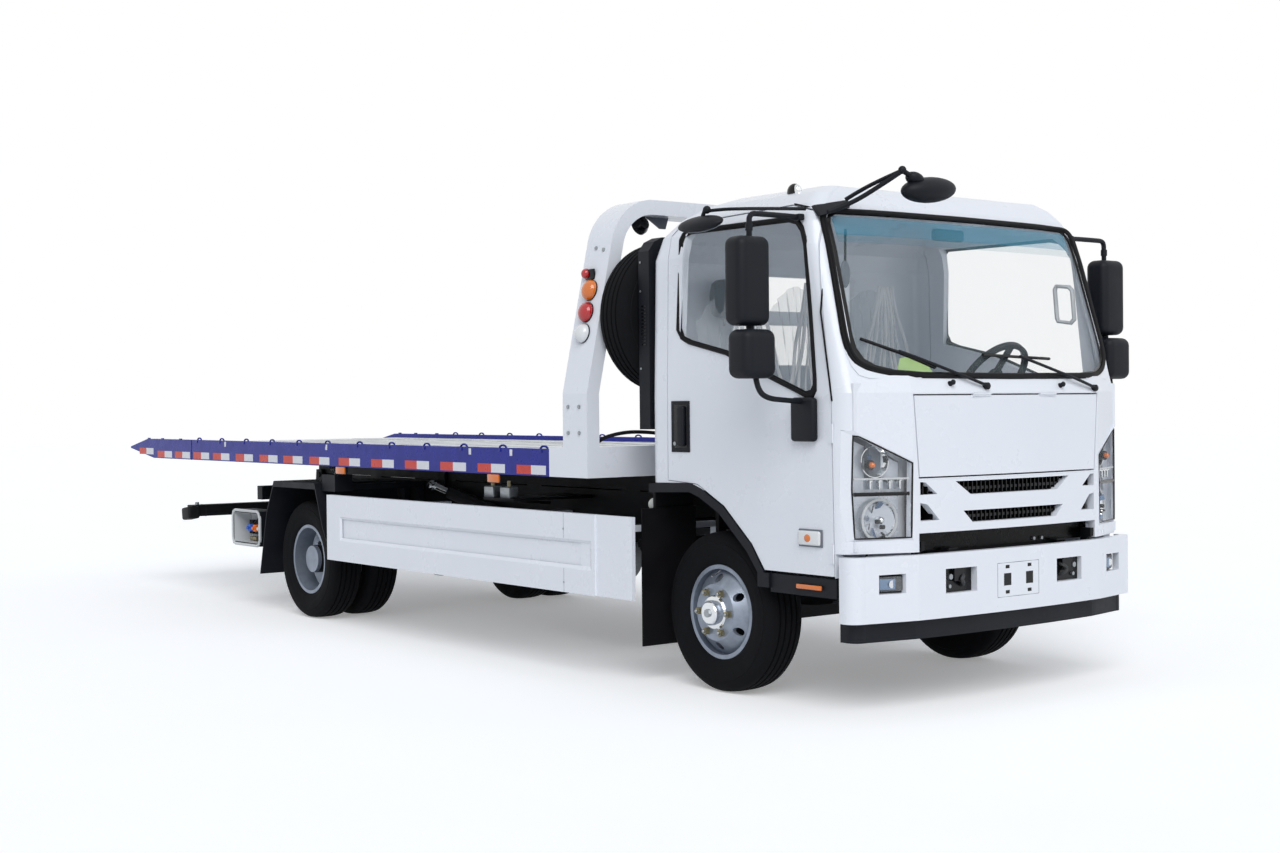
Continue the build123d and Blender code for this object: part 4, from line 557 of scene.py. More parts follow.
class TruckStage(bpy.types.Operator):
    """Adds the pale floor, the backdrop light, the lamps and the camera"""
    bl_idname = "towtruck.stage"
    bl_label = "Stage"

    def seen(self, tree):
        """1 for camera, glossy and transmission rays, which show the background, and 0 for the others."""
        path = node(tree, "ShaderNodeLightPath")
        value = path.outputs["Is Camera Ray"]
        for ray in ("Is Glossy Ray", "Is Transmission Ray"):
            value = node(tree, "ShaderNodeMath", {0: value, 1: path.outputs[ray]},
                         operation="MAXIMUM").outputs[0]
        return value

    def lift(self, tree):
        """Makes the floor pale to the rays that show it, with the shadows kept."""
        surface = next(n for n in tree.nodes if n.type == "BSDF_PRINCIPLED").outputs["BSDF"]
        share = node(tree, "ShaderNodeMath", {0: self.seen(tree), 1: FLOOR_GLOW},
                     operation="MULTIPLY").outputs[0]
        glow = node(tree, "ShaderNodeEmission", {"Strength": share}).outputs["Emission"]
        lifted = node(tree, "ShaderNodeAddShader", {0: surface, 1: glow}).outputs["Shader"]
        output = next(n for n in tree.nodes if n.type == "OUTPUT_MATERIAL")
        tree.links.new(lifted, output.inputs["Surface"])

    def execute(self, context):
        """Sets the world, the lamps, the floor and the camera."""
        scene = context.scene
        scene.view_settings.view_transform = "Standard"
        world = bpy.data.worlds.new("studio")
        scene.world = world
        world.use_nodes = True
        tree = world.node_tree
        tree.nodes.clear()
        soft = node(tree, "ShaderNodeBackground", {"Color": linear("#E6ECF6"), "Strength": 0.44})
        pale = node(tree, "ShaderNodeBackground", {"Color": linear("#FFFFFF"), "Strength": 1.0})
        mixed = node(tree, "ShaderNodeMixShader", {0: self.seen(tree), 1: soft.outputs[0],
                                                   2: pale.outputs[0]})
        node(tree, "ShaderNodeOutputWorld", {"Surface": mixed.outputs[0]})

        floor_mesh = bpy.data.meshes.new("floor")
        bm = bmesh.new()
        bmesh.ops.create_circle(bm, cap_ends=True, segments=96, radius=60.0)
        bm.to_mesh(floor_mesh)
        bm.free()
        floor = bpy.data.objects.new("floor", floor_mesh)
        context.collection.objects.link(floor)
        # Matt emulsion on the studio's floor
        paint = finish("floor_paint", "#F4F5F6", 0.9, dirt="#EFF0F1", dirt_share=0.3, dirt_size=900)
        self.lift(paint.node_tree)
        floor_mesh.materials.append(paint)

        for name, kind, energy, spread, angles in (("key", "SUN", 1.8, 40.0, (50, 0, -36)),
                                                   ("fill", "SUN", 0.25, 60.0, (58, 0, 30))):
            lamp = bpy.data.lights.new(name, kind)
            lamp.energy = energy
            lamp.angle = radians(spread)
            holder = bpy.data.objects.new(name, lamp)
            holder.rotation_euler = [radians(a) for a in angles]
            context.collection.objects.link(holder)

        camera = bpy.data.cameras.new("camera")
        camera.sensor_width = SENSOR_WIDTH
        camera.lens = FOCAL_LENGTH / PHOTO_WIDTH * SENSOR_WIDTH
        camera.clip_end = 200.0
        holder = bpy.data.objects.new("camera", camera)
        context.collection.objects.link(holder)
        yaw, pitch, roll = (radians(angle) for angle in CAMERA_TURN)
        ahead = Vector((sin(yaw) * cos(pitch), cos(yaw) * cos(pitch), sin(pitch)))
        level = Vector((cos(yaw), -sin(yaw), 0.0))
        up = level.cross(ahead)
        right = level * cos(roll) + up * sin(roll)
        up = up * cos(roll) - level * sin(roll)
        turn = Matrix((right, up, -ahead)).transposed().to_4x4()
        holder.matrix_world = Matrix.Translation(CAMERA_PLACE) @ turn
        scene.camera = holder
        return {"FINISHED"}


# The truck's pieces

class Windscreen(bpy.types.Operator):
    """Adds the windscreen's rubber, dark border, white corners, tinted band, wipers and washer nozzles"""
    bl_idname = "towtruck.windscreen"
    bl_label = "Windscreen"

    def execute(self, context):
        """Follows the curved glass by casting onto it."""
        sizes = context.scene.tow_cab
        corner = [(0.938, 1.735), (0.932, 1.668), (0.906, 1.618), (0.855, 1.586), (0.765, 1.564),
                  (0.60, 1.553)]
        half = [(0.0, 2.338), (0.60, 2.336), (0.860, 2.333), (0.897, 2.318), (0.912, 2.28), (0.927, 1.95),
                *corner, (0.0, 1.549)]
        outline = half + [(-x, z) for x, z in half[-2:0:-1]]
        opening = ring_points([(x, 0, z) for x, z in outline])

        def drawn_in(across, up, proud):
            """The opening's outline on the cab's front, drawn in towards the middle of the glass."""
            return [on_front(p.x * across, GLASS_MIDDLE_Z + (p.z - GLASS_MIDDLE_Z) * up, proud)
                    for p in opening]

        trim = Piece("windscreen_trim", "cab", "black_plastic")
        trim.tube([on_front(p.x, p.z, 0.002) for p in opening], sizes.seal_radius, "epdm_rubber", closed=True)
        for near, far in ((1.0, 0.982), (0.982, 0.964), (0.964, 0.944)):
            rings = [drawn_in(share, 1 - (1 - share) * 0.9, 0.004) for share in (near, far)]
            trim.band(*rings, "gloss_black_abs")
        trim.tube(drawn_in(0.986, 0.987, 0.001), 0.012, "epdm_rubber", closed=True)
        trim.done()
        corners = Piece("windscreen_corners", "cab", "white_paint")
        edge = [(0.60, 1.541), (0.856, 1.543), (0.903, 1.558), (0.930, 1.600), (0.941, 1.66), (0.943, 1.736)]
        for side in SIGNS:
            for (x0, z0), (x1, z1), (u0, w0), (u1, w1) in zip(corner[::-1], corner[-2::-1], edge, edge[1:]):
                quad = ((x0, z0), (x1, z1), (u1, w1), (u0, w0))
                corners.plate([on_front(side * x, z, 0.002) for x, z in quad], (0, -0.003, 0), "white_enamel")
        corners.done()
        tint = Piece("tint_band", "cab", "clear_glass")
        glass_top, fade = 2.306, 0.036
        dark_end = glass_top - sizes.tint_height
        for high, low, look in ((glass_top, dark_end, "tinted_glass"),
                                (dark_end, dark_end - fade, "faint_tint")):
            tint.sheet((-0.845, 0.845), (low, high), (40, 4),
                       lambda x, z: on_front(x, z, 0.0015, GLASS), look)
        tint.done()
        wipers = Piece("wipers", "cab", "black_plastic")
        for pivot, elbow, tip, heel in (((-0.202, 1.506), (-0.70, 1.668), (-0.86, 1.725), (-0.50, 1.592)),
                                        ((0.641, 1.495), (0.09, 1.650), (-0.16, 1.655), (0.33, 1.640))):
            base = on_front(*pivot)
            wipers.rod(base + Vector((0, 0.01, 0)), base - Vector((0, 0.019, 0)), 0.017,
                       "black_polypropylene")
            wipers.ball(base - Vector((0, 0.019, 0)), (0.017, 0.008, 0.017), "black_polypropylene", rows=8)
            arm = [Vector((*pivot, 0)).lerp(Vector((*elbow, 0)), k / 6) for k in range(7)]
            path = [on_front(p.x, p.y, 0.018 + 0.006 * min(k, 2)) for k, p in enumerate(arm)]
            wipers.tube(path, 0.0075, "black_polypropylene", sides=8)
            blade = [Vector((*heel, 0)).lerp(Vector((*tip, 0)), k / 10) for k in range(11)]
            wipers.tube([on_front(p.x, p.y, 0.014) for p in blade], 0.008, "epdm_rubber", sides=8)
            spine = [on_front(p.x, p.y, 0.020 + 0.006 * (1 - abs(k - 5) / 5)) for k, p in enumerate(blade)]
            wipers.tube(spine, 0.005, "gloss_black_abs", sides=8)
        for x, z in ((-0.429, 1.516), (0.359, 1.506)):
            foot = on_front(x, z)
            wipers.rod(foot + Vector((0, 0.004, 0)), foot - Vector((0, 0.018, -0.006)), 0.014,
                       "black_polypropylene", end_radius=0.009)
            wipers.ball(foot - Vector((0, 0.020, -0.008)), (0.015, 0.009, 0.013), "black_polypropylene",
                        rows=8)
        wipers.done()
        return {"FINISHED"}


class Headlamps(bpy.types.Operator):
    """Adds the headlamps' lenses, bowls, bulbs and fins, and the bumper's fog lamps"""
    bl_idname = "towtruck.headlamps"
    bl_label = "Headlamps"

    def execute(self, context):
        """Sets each lamp behind the cab's skin and drapes its lens over it."""
        lens = Piece("headlamp_lenses", "cab", "lamp_lens")
        bowls = Piece("headlamp_bowls", "cab", "lamp_lens")
        frames = Piece("headlamp_frames", "cab", "white_paint")
        outer = ((0.668, 1.162), (0.950, 1.306), (0.986, 1.308), (0.990, 0.960), (0.974, 0.803),
                 (0.674, 0.803))
        outline = ((0.677, 1.155), (0.922, 1.280), (0.948, 1.284), (0.954, 1.040), (0.944, 0.815),
                   (0.684, 0.815))
        back = ((0.684, 0.812), (0.945, 0.812), (0.950, 1.280), (0.93, 1.278), (0.684, 1.155))
        painted_reflection_streaks = ((20, 0.030), (65, 0.012), (110, 0.036), (160, 0.014), (205, 0.034), (250, 0.012),
                  (300, 0.026), (335, 0.010))
        for side in SIGNS:
            rings = [[on_front(side * x, z, 0.003) for x, z in ring] for ring in (outer, outline)]
            for index in range(len(outer)):
                quad = [rings[0][index - 1], rings[0][index], rings[1][index], rings[1][index - 1]]
                frames.plate(quad, (0, 0.020, 0), "white_enamel")
            ring = ring_points([(side * x, 0, z) for x, z in outline], 0.03)
            front = [on_front(p.x, p.z, 0.001) for p in ring]
            lens.band([p + Vector((0, 0.012, 0)) for p in front], front, "clear_acrylic")
            lens.fill(front, "clear_acrylic")
            lens.tube(front, 0.0045, "gloss_black_abs", closed=True, smooth=False)
            for z, radius, look in ((1.085, 0.005, "pale_grey_abs"), (1.016, 0.010, "gloss_black_abs")):
                bowls.tube([on_front(side * x, z, -0.006) for x in (0.690, 0.75, 0.82, 0.89, 0.942)], radius,
                           look, smooth=False)
            middle = Vector((side * 0.812, -3.955, 1.162))
            bowls.dish(middle, (side * 0.25, -1, 0.05), 0.070, 0.050, "hard_chrome")
            bulb = Vector((side * 0.852, -3.950, 1.148))
            bowls.rod(bulb, bulb + Vector((0, -0.020, 0)), 0.024, "gloss_black_abs")
            bowls.ball(bulb + Vector((0, -0.024, 0)), (0.014, 0.020, 0.014), "amber_acrylic", rows=8)
            low = Vector((side * 0.787, -3.955, 0.893))
            bowls.dish(low, (side * 0.2, -1, 0.0), 0.088, 0.060, "hard_chrome")
            bowls.turned([(0.088, -0.002), (0.100, -0.002), (0.100, 0.006), (0.088, 0.006)], low,
                         (side * 0.2, -1, 0.0), "pale_grey_abs")
            bowls.ball(low - Vector((0, 0.004, 0)), (0.018, 0.024, 0.018), "hard_chrome", rows=10)
            for dx, dz in ((0.0, -0.030), (0.030, -0.004)):
                bowls.box(low + Vector((side * dx - 0.012, -0.030, dz - 0.010)),
                          low + Vector((side * dx + 0.012, -0.010, dz + 0.010)), "gloss_black_abs", 0.005)
            bowls.plate([on_front(side * x, z, -0.082) for x, z in back], (0, 0.006, 0), "lamp_silver")
            # Painted reflections in the low bowl: steel blue patches and narrow dark streaks
            for angle, wide in painted_reflection_streaks:
                out = Vector((side * cos(radians(angle)), 0, sin(radians(angle))))
                across = out.cross(Vector((0, 1, 0)))
                bowls.plate([low + out * 0.026 + Vector((0, 0.036, 0)),
                             low + out * 0.082 + Vector((0, -0.004, 0)),
                             low + out * 0.080 + Vector((0, -0.004, 0)) + across * wide,
                             low + out * 0.028 + Vector((0, 0.036, 0)) + across * wide * 0.35],
                            (0, 0.002, 0), "painted_sky_reflection" if wide > 0.02 else "gloss_black_abs")
            # A patch of painted reflection in the upper bowl
            bowls.plate([middle + Vector((side * 0.010, 0.010, 0.030)),
                         middle + Vector((side * 0.045, 0.004, 0.034)),
                         middle + Vector((side * 0.036, 0.004, -0.036)),
                         middle + Vector((side * 0.004, 0.012, -0.030))], (0, 0.002, 0), "painted_sky_reflection")
            for x in (0.725, 0.772, 0.819, 0.862):
                foot = on_front(side * x, 1.058, -0.014)
                bowls.box(foot + Vector((-0.005, -0.004, -0.022)), foot + Vector((0.005, 0.04, 0.024)),
                          "hard_chrome", 0.003)
                bowls.box(foot + Vector((-0.005, -0.004, 0.014)), foot + Vector((0.018, 0.01, 0.024)),
                          "hard_chrome", 0.003)
        frames.done()
        lens.done(stands_for=("headlamps",))
        bowls.done()

        fogs = Piece("fog_lamps", "chassis", "lamp_lens")
        for side in SIGNS:
            centre = Vector((side * 0.7950, -4.016, 0.608))
            turn = ("Z", side * 20, centre)
            fogs.box(centre - Vector((0.072, 0.012, 0.042)), centre + Vector((0.072, 0.03, 0.042)),
                     "gloss_black_abs", 0.014, turn, 3)
            # Painted reflection of the sky in the fog lamp's reflector
            fogs.box(centre - Vector((0.052, 0.020, 0.028)), centre + Vector((0.030, 0.0, 0.024)),
                     "painted_sky_reflection", 0.006, turn)
            fogs.rod(centre - Vector((0, 0.022, 0.002)), centre - Vector((0, 0.024, 0.002)), 0.018,
                     "hard_chrome")
            fogs.box(centre - Vector((0.060, 0.026, 0.034)), centre + Vector((0.060, -0.014, 0.034)),
                     "clear_acrylic", 0.006, turn)
        fogs.done()
        return {"FINISHED"}


class CabTrim(bpy.types.Operator):
    """Adds the door handles, window surrounds, shut lines, side lamps and roof lamps"""
    bl_idname = "towtruck.cab_trim"
    bl_label = "Cab trim"

    def execute(self, context):
        """Places each piece on the cab's skin."""
        for side, word in BOTH_SIDES:
            trim = Piece(f"door_trim_{word}", f"door_{word}", "black_plastic")
            x = side * DOOR_X
            trim.box((x, -2.856, 1.192), (x + side * 0.006, -2.712, 1.450), "black_polypropylene", 0.018,
                     segments=4)
            trim.box((x + side * 0.004, -2.842, 1.212), (x + side * 0.009, -2.740, 1.432), "gloss_black_abs",
                     0.014, segments=4)
            trim.box((x + side * 0.002, -2.830, 1.222), (x + side * 0.030, -2.780, 1.425),
                     "black_polypropylene", 0.012, segments=4)
            trim.rod((x + side * 0.004, -2.745, 1.235), (x + side * 0.012, -2.745, 1.235), 0.010,
                     "zinc_plate")
            window = [(-2.800, 2.306), (-3.560, 2.302), (-3.615, 2.288), (-3.655, 2.250), (-3.690, 2.180),
                      (-3.730, 1.850), (-3.762, 1.540), (-3.763, 1.492), (-3.748, 1.468), (-3.715, 1.463),
                      (-3.430, 1.566), (-3.136, 1.679), (-2.850, 1.742), (-2.785, 1.765), (-2.760, 1.810),
                      (-2.758, 2.262), (-2.770, 2.292)]
            ring = [on_side(side, y, z, 0.001) for y, z in window]
            trim.tube(ring, 0.010, "epdm_rubber", closed=True, smooth=False, sides=12)
            middle_y, middle_z = -3.26, 1.95
            inner = [on_side(side, middle_y + (y - middle_y) * 0.950, middle_z + (z - middle_z) * 0.945,
                             0.003) for y, z in window]
            trim.band([p + Vector((side * 0.003, 0, 0)) for p in ring], inner, "epdm_rubber")
            shut = [(-3.540, 2.373), (-3.640, 2.350), (-3.702, 2.331), (-3.738, 2.252), (-3.802, 1.850),
                    (-3.8705, 1.446), (-3.8775, 1.000), (-3.883, 0.640)]
            line = [on_side(side, y + 0.006, z, 0.0005) - Vector((0, 0.006, 0)) for y, z in shut]
            trim.tube(line, 0.0045, "epdm_rubber", smooth=False, sides=8)
            trim.done()
            lamp = Piece(f"side_lamp_{word}", "cab", "lamp_lens")
            lamp.box((x, -3.806, 0.770), (x + side * 0.008, -3.649, 0.852), "grey_polypropylene", 0.016,
                     segments=3)
            lamp.box((x + side * 0.004, -3.799, 0.778), (x + side * 0.022, -3.656, 0.845), "white_acrylic",
                     0.014, segments=3)
            lamp.ball((x + side * 0.014, -3.722, 0.811), (0.014, 0.026, 0.022), "amber_acrylic", rows=10)
            lamp.box((x + side * 0.001, -3.798, 0.572), (x + side * 0.010, -3.630, 0.594), "amber_acrylic",
                     0.004)
            lamp.done()
            roof = Piece(f"roof_lamp_{word}", "cab", "lamp_lens")
            top = ROOF.ray_cast(Vector((side * 0.800, -3.42, 4.0)), Vector((0, 0, -1)))[0]
            roof.ball(top, (0.028, 0.042, 0.042), "gloss_black_abs", rows=10)
            roof.ball(top + Vector((0, -0.012, 0.002)), (0.024, 0.034, 0.036), "hard_chrome", rows=10)
            roof.done()
        return {"FINISHED"}


class Mirrors(bpy.types.Operator):
    """Adds the mirror heads on their bent arms, the kerb mirror over the right door and the front mirror"""
    bl_idname = "towtruck.mirrors"
    bl_label = "Mirrors"

    def execute(self, context):
        """Builds both door mirrors and the front one."""
        for side, word in BOTH_SIDES:
            heads = Piece(f"mirror_heads_{word}", f"door_{word}", "black_plastic")
            for front, back, low, high in ((-3.706, -3.572, 1.787, 2.193), (-3.742, -3.592, 1.547, 1.770)):
                heads.box((side * 1.204, front, low), (side * 1.396, back, high), "black_polypropylene",
                          0.042, segments=6)
                heads.box((side * 1.236, back - 0.006, low + 0.040),
                          (side * 1.364, back + 0.003, high - 0.040), "mirror_glass", 0.004)
            arm = [(-0.975, -3.643, 2.297), (-1.060, -3.641, 2.299), (-1.215, -3.641, 2.299),
                   (-1.285, -3.641, 2.298), (-1.288, -3.641, 2.240), (-1.288, -3.641, 1.900),
                   (-1.288, -3.665, 1.600), (-1.284, -3.690, 1.490), (-1.240, -3.706, 1.456),
                   (-1.140, -3.708, 1.448), (-1.020, -3.708, 1.440)]
            heads.tube(handed(arm, side), 0.013, "black_polypropylene", sides=12)
            for z in (2.235, 1.778):
                heads.rod((side * 1.288, -3.641, z - 0.016), (side * 1.288, -3.641, z + 0.016), 0.017,
                          "black_polypropylene")
            heads.box((side * 0.9995, -3.786, 1.256), (side * 1.040, -3.630, 1.460), "black_polypropylene",
                      0.018, segments=4)
            heads.box((side * 0.965, -3.668, 2.282), (side * 1.000, -3.616, 2.312), "black_polypropylene",
                      0.006)
            if side < 0:
                heads.tube([(-1.072, -3.093, 2.372), (-1.030, -3.150, 2.378), (-1.004, -3.300, 2.368),
                            (-0.998, -3.500, 2.350), (-0.994, -3.700, 2.330)], 0.009, "black_polypropylene")
                heads.ball((-1.075, -3.093, 2.378), (0.018, 0.022, 0.020), "black_polypropylene")
                heads.rod((-1.078, -3.080, 2.375), (-1.082, -3.060, 2.330), 0.010, "black_polypropylene")
                heads.ball((-1.085, -3.055, 2.312), (0.062, 0.160, 0.034), "black_polypropylene", rows=16,
                           turn=("Y", -30))
                heads.ball((-1.081, -3.055, 2.306), (0.054, 0.146, 0.030), "mirror_glass", rows=16,
                           turn=("Y", -30))
            heads.done(stands_for=(f"mirrors_{word}",))
        front = Piece("front_mirror", "cab", "black_plastic")
        foot = ((-0.938, 2.294), (-0.915, 2.352), (-0.723, 2.386), (-0.735, 2.345))
        front.plate([on_front(x, z) for x, z in foot], (0, -0.024, 0.004), "black_polypropylene", 0.005)
        front.tube([(-0.880, -3.735, 2.320), (-0.810, -3.80, 2.350), (-0.745, -3.93, 2.425),
                    (-0.690, -4.022, 2.490)], 0.012, "black_polypropylene")
        front.tube([(-0.760, -3.728, 2.385), (-0.730, -3.80, 2.425), (-0.705, -3.93, 2.468),
                    (-0.687, -4.022, 2.494)], 0.010, "black_polypropylene")
        front.ball((-0.687, -4.022, 2.496), (0.019, 0.019, 0.019), "black_polypropylene")
        front.rod((-0.687, -4.022, 2.494), (-0.600, -4.020, 2.462), 0.012, "black_polypropylene")
        front.ball((-0.600, -4.018, 2.462), (0.050, 0.040, 0.030), "black_polypropylene", turn=("Y", 18))
        front.ball((-0.500, -4.010, 2.418), (0.168, 0.080, 0.060), "black_polypropylene", rows=16,
                   turn=("Y", -5))
        front.ball((-0.500, -3.990, 2.412), (0.140, 0.066, 0.050), "mirror_glass", rows=16, turn=("Y", -5))
        front.done()
        return {"FINISHED"}


class FrontDetail(bpy.types.Operator):
    """Adds grille bars on a sheet of painted shade, the plate bracket's painted shade, tow eyes and what
    shows through the bumper
    """
    bl_idname = "towtruck.front_detail"
    bl_label = "Front detail"

    def execute(self, context):
        """Sets dark pieces behind the openings, painted shade behind the grille, and painted shade on the
        bumper's bracket.
        """
        mesh = Piece("grille_bars_and_painted_shade", "cab", "black_plastic")
        bow = 0.03  # how far the grille falls back towards its ends, per square metre

        def on_shade_sheet(x, z):
            """The dark sheet of painted shade behind the grille, bowed as the cab's front is."""
            return Vector((x, -4.006 + bow * x * x, z))

        # A dark sheet behind the grille and the gap above the bumper: painted shade
        mesh.sheet((-0.66, 0.66), (0.744, 1.085), (24, 6), on_shade_sheet, "gloss_black_abs", 0.003)
        fin_spacing = 0.030
        for low, high, reach in ((1.000, 1.068, 0.60), (0.868, 0.930, 0.54)):
            bar = (low + high) / 2 - (0.008 if low > 0.95 else 0.004)
            wide = 0.432 if low > 0.95 else 0.372
            for edge in (-1, 1):
                mesh.box((-wide, -4.0580, bar + edge * 0.0072), (wide, -4.0430, bar + edge * 0.0012),
                         "gloss_black_abs")
            mesh.box((-wide, -4.0585, bar - 0.0068), (wide, -4.0565, bar + 0.0068), "gloss_black_abs")
            count = int(reach / fin_spacing)
            for index in range(-count, count + 1):
                x = fin_spacing * index
                mesh.box((x - 0.003, -4.064 + bow * x * x, low - 0.004),
                         (x + 0.003, -4.010 + bow * x * x, high + 0.004), "gloss_black_abs")
        for x in (-0.666, -0.606, 0.231, 0.291):
            seat = on_shade_sheet(x, 0.758)
            mesh.rod(seat, seat - Vector((0, 0.012, 0)), 0.009, "zinc_plate", sides=6)
        mesh.done()
        plate = Piece("plate_bracket_shade", "chassis", "black_plastic")
        # Dark patches of painted shade in the bracket's holes
        hole_shades = [(x - 0.026, x + 0.026, 0.556, 0.614) for x in (-0.080, 0.080)]
        hole_shades += [(x - 0.014, x + 0.014, z - 0.008, z + 0.008) for x in (-0.080, 0.080)
                  for z in (0.525, 0.645)]
        for x0, x1, z0, z1 in hole_shades:
            face = [on_front(x, z, 0.0006, BUMPER) for x, z in ((x0, z0), (x1, z0), (x1, z1), (x0, z1))]
            plate.plate(face, (0, 0.003, 0), "gloss_black_abs")
        # Grey lines draw the bracket's edge, with painted shadow along it
        rim = ((-0.150, 0.502), (0.150, 0.502), (0.150, 0.664), (-0.150, 0.664))
        for (x0, z0), (x1, z1) in zip(rim, rim[1:] + rim[:1]):
            middle = ((x0 + x1) / 2, (z0 + z1) / 2)
            line = [on_front(x, z, -0.0008, BUMPER) for x, z in ((x0, z0), middle, (x1, z1))]
            plate.tube(line, 0.0016, "grey_polypropylene", smooth=False, sides=8)
        plate.done()
        tow = Piece("tow_eyes", "chassis", "black_paint")
        for side in SIGNS:
            tow.box((side * 0.262, -4.068, 0.520), (side * 0.520, -4.058, 0.690), "gloss_black_abs")
            tow.box((side * (BRACKET_X[0] - 0.002), -4.0866, 0.598),
                    (side * (BRACKET_X[1] + 0.002), -4.0600, 0.702), "gloss_black_abs")
            tow.tube([(side * 0.36, -4.062, 0.575), (side * 0.36, -4.086, 0.580),
                      (side * 0.39, -4.094, 0.603), (side * 0.36, -4.086, 0.626),
                      (side * 0.36, -4.062, 0.630)], 0.010, "cast_iron")
            tow.rod((side * 0.45, -4.066, 0.62), (side * 0.45, -4.086, 0.62), 0.014, "zinc_plate", sides=6)
            tow.rod((side * 0.45, -4.066, 0.575), (side * 0.45, -4.080, 0.575), 0.010, "zinc_plate", sides=6)
        tow.done()
        return {"FINISHED"}


class Wheels(bpy.types.Operator):
    """Adds grooved tyres, wheel nuts, hub caps and valves"""
    bl_idname = "towtruck.wheels"
    bl_label = "Wheels"

    def tyre(self, piece, centre, axis):
        """A highway tyre: four grooves round the tread, and rings on the sidewall."""
        tread = [(0.0, 0.400), (0.013, 0.400), (0.015, 0.389), (0.023, 0.389), (0.025, 0.400),
                 (0.047, 0.3985), (0.049, 0.3875), (0.057, 0.3875), (0.059, 0.398), (0.084, 0.394),
                 (0.097, 0.385), (0.1075, 0.368), (0.1125, 0.352), (0.1125, 0.346), (0.1160, 0.342),
                 (0.1163, 0.318), (0.1145, 0.292), (0.1125, 0.289), (0.1110, 0.270), (0.1050, 0.254),
                 (0.0990, 0.2445), (0.0930, 0.2385), (0.0845, 0.236), (0.078, 0.224)]
        outline = [(r, a) for a, r in tread] + [(r, -a) for a, r in tread[:0:-1]]
        piece.turned(outline, centre, axis, "tyre_rubber", sides=72)

    def studs(self, centre, first):
        """Where the wheel's studs stand round its centre, from a first angle in degrees."""
        angles = [radians(360 / STUDS * index + first) for index in range(STUDS)]
        return [centre + Vector((0, cos(angle), sin(angle))) * STUD_CIRCLE for angle in angles]

    def execute(self, context):
        """Dresses all the wheels."""
        for side, word in BOTH_SIDES:
            front = (f"front_tyre_{word}", f"front_wheel_{word}", FRONT_AXLE_Y, (FRONT_TYRE_X,))
            twins = (f"rear_tyres_{word}", f"rear_wheels_{word}", REAR_AXLE_Y, REAR_TYRE_XS)
            for name, body, y, xs in (front, twins):
                rubber = Piece(f"{name}_tread", body, "tyre_rubber")
                for x in xs:
                    self.tyre(rubber, (side * x, y, AXLE_Z), (1, 0, 0))
                rubber.done(stands_for=(name,))
            hub = Piece(f"front_hub_{word}", f"front_wheel_{word}", "silver_paint")
            out = Vector((side, 0, 0))
            centre = Vector((side * (FRONT_TYRE_X + 0.128), FRONT_AXLE_Y, AXLE_Z))
            hub.turned([(0.0, -0.01), (0.086, -0.01), (0.086, 0.004), (0.080, 0.012), (0.062, 0.014),
                        (0.060, 0.034), (0.052, 0.044), (0.030, 0.046), (0.0, 0.046)], centre, out,
                       "hard_chrome")
            hub.rod(centre + out * 0.044, centre + out * 0.056, 0.021, "zinc_plate", sides=8)
            for place in self.studs(centre, 0):
                hub.rod(place - out * 0.002, place + out * 0.003, 0.021, "zinc_plate", sides=20)
                hub.rod(place + out * 0.002, place + out * 0.024, 0.0178, "chromate_nut", sides=6)
                hub.rod(place + out * 0.022, place + out * 0.034, 0.0095, "zinc_plate", sides=12)
                hub.ball(place + out * 0.034, (0.004, 0.0095, 0.0095), "zinc_plate", rows=6)
            stem = ((0.93, 0.205), (0.955, 0.19), (0.985, 0.180))
            hub.tube([(side * x, FRONT_AXLE_Y, AXLE_Z + rise) for x, rise in stem], 0.0045, "zinc_plate",
                     sides=8)
            hub.done()
            rear = Piece(f"rear_hub_{word}", f"rear_wheels_{word}", "silver_paint")
            centre = Vector((side * 0.837, REAR_AXLE_Y, AXLE_Z))
            rear.turned([(0.0, 0.190), (0.040, 0.190), (0.052, 0.176), (0.0945, 0.170), (0.0945, -0.004),
                         (0.0, -0.004)], centre, out, "chassis_black")
            for place in self.studs(centre, 30):
                rear.rod(place, place + out * 0.028, 0.0178, "chromate_nut", sides=6)
                rear.rod(place + out * 0.026, place + out * 0.040, 0.0095, "zinc_plate", sides=12)
            stem = ((0.86, 0.19), (0.93, 0.175), (1.00, 0.165))
            rear.tube([(side * x, REAR_AXLE_Y, AXLE_Z + rise) for x, rise in stem], 0.0045, "zinc_plate",
                      sides=8)
            rear.done()
        spare = Piece("spare_tyre_tread", "bed", "tyre_rubber")
        low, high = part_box("spare_tyre")
        self.tyre(spare, (low + high) / 2, (0, 1, 0))
        spare.done(stands_for=("spare_tyre",))
        return {"FINISHED"}


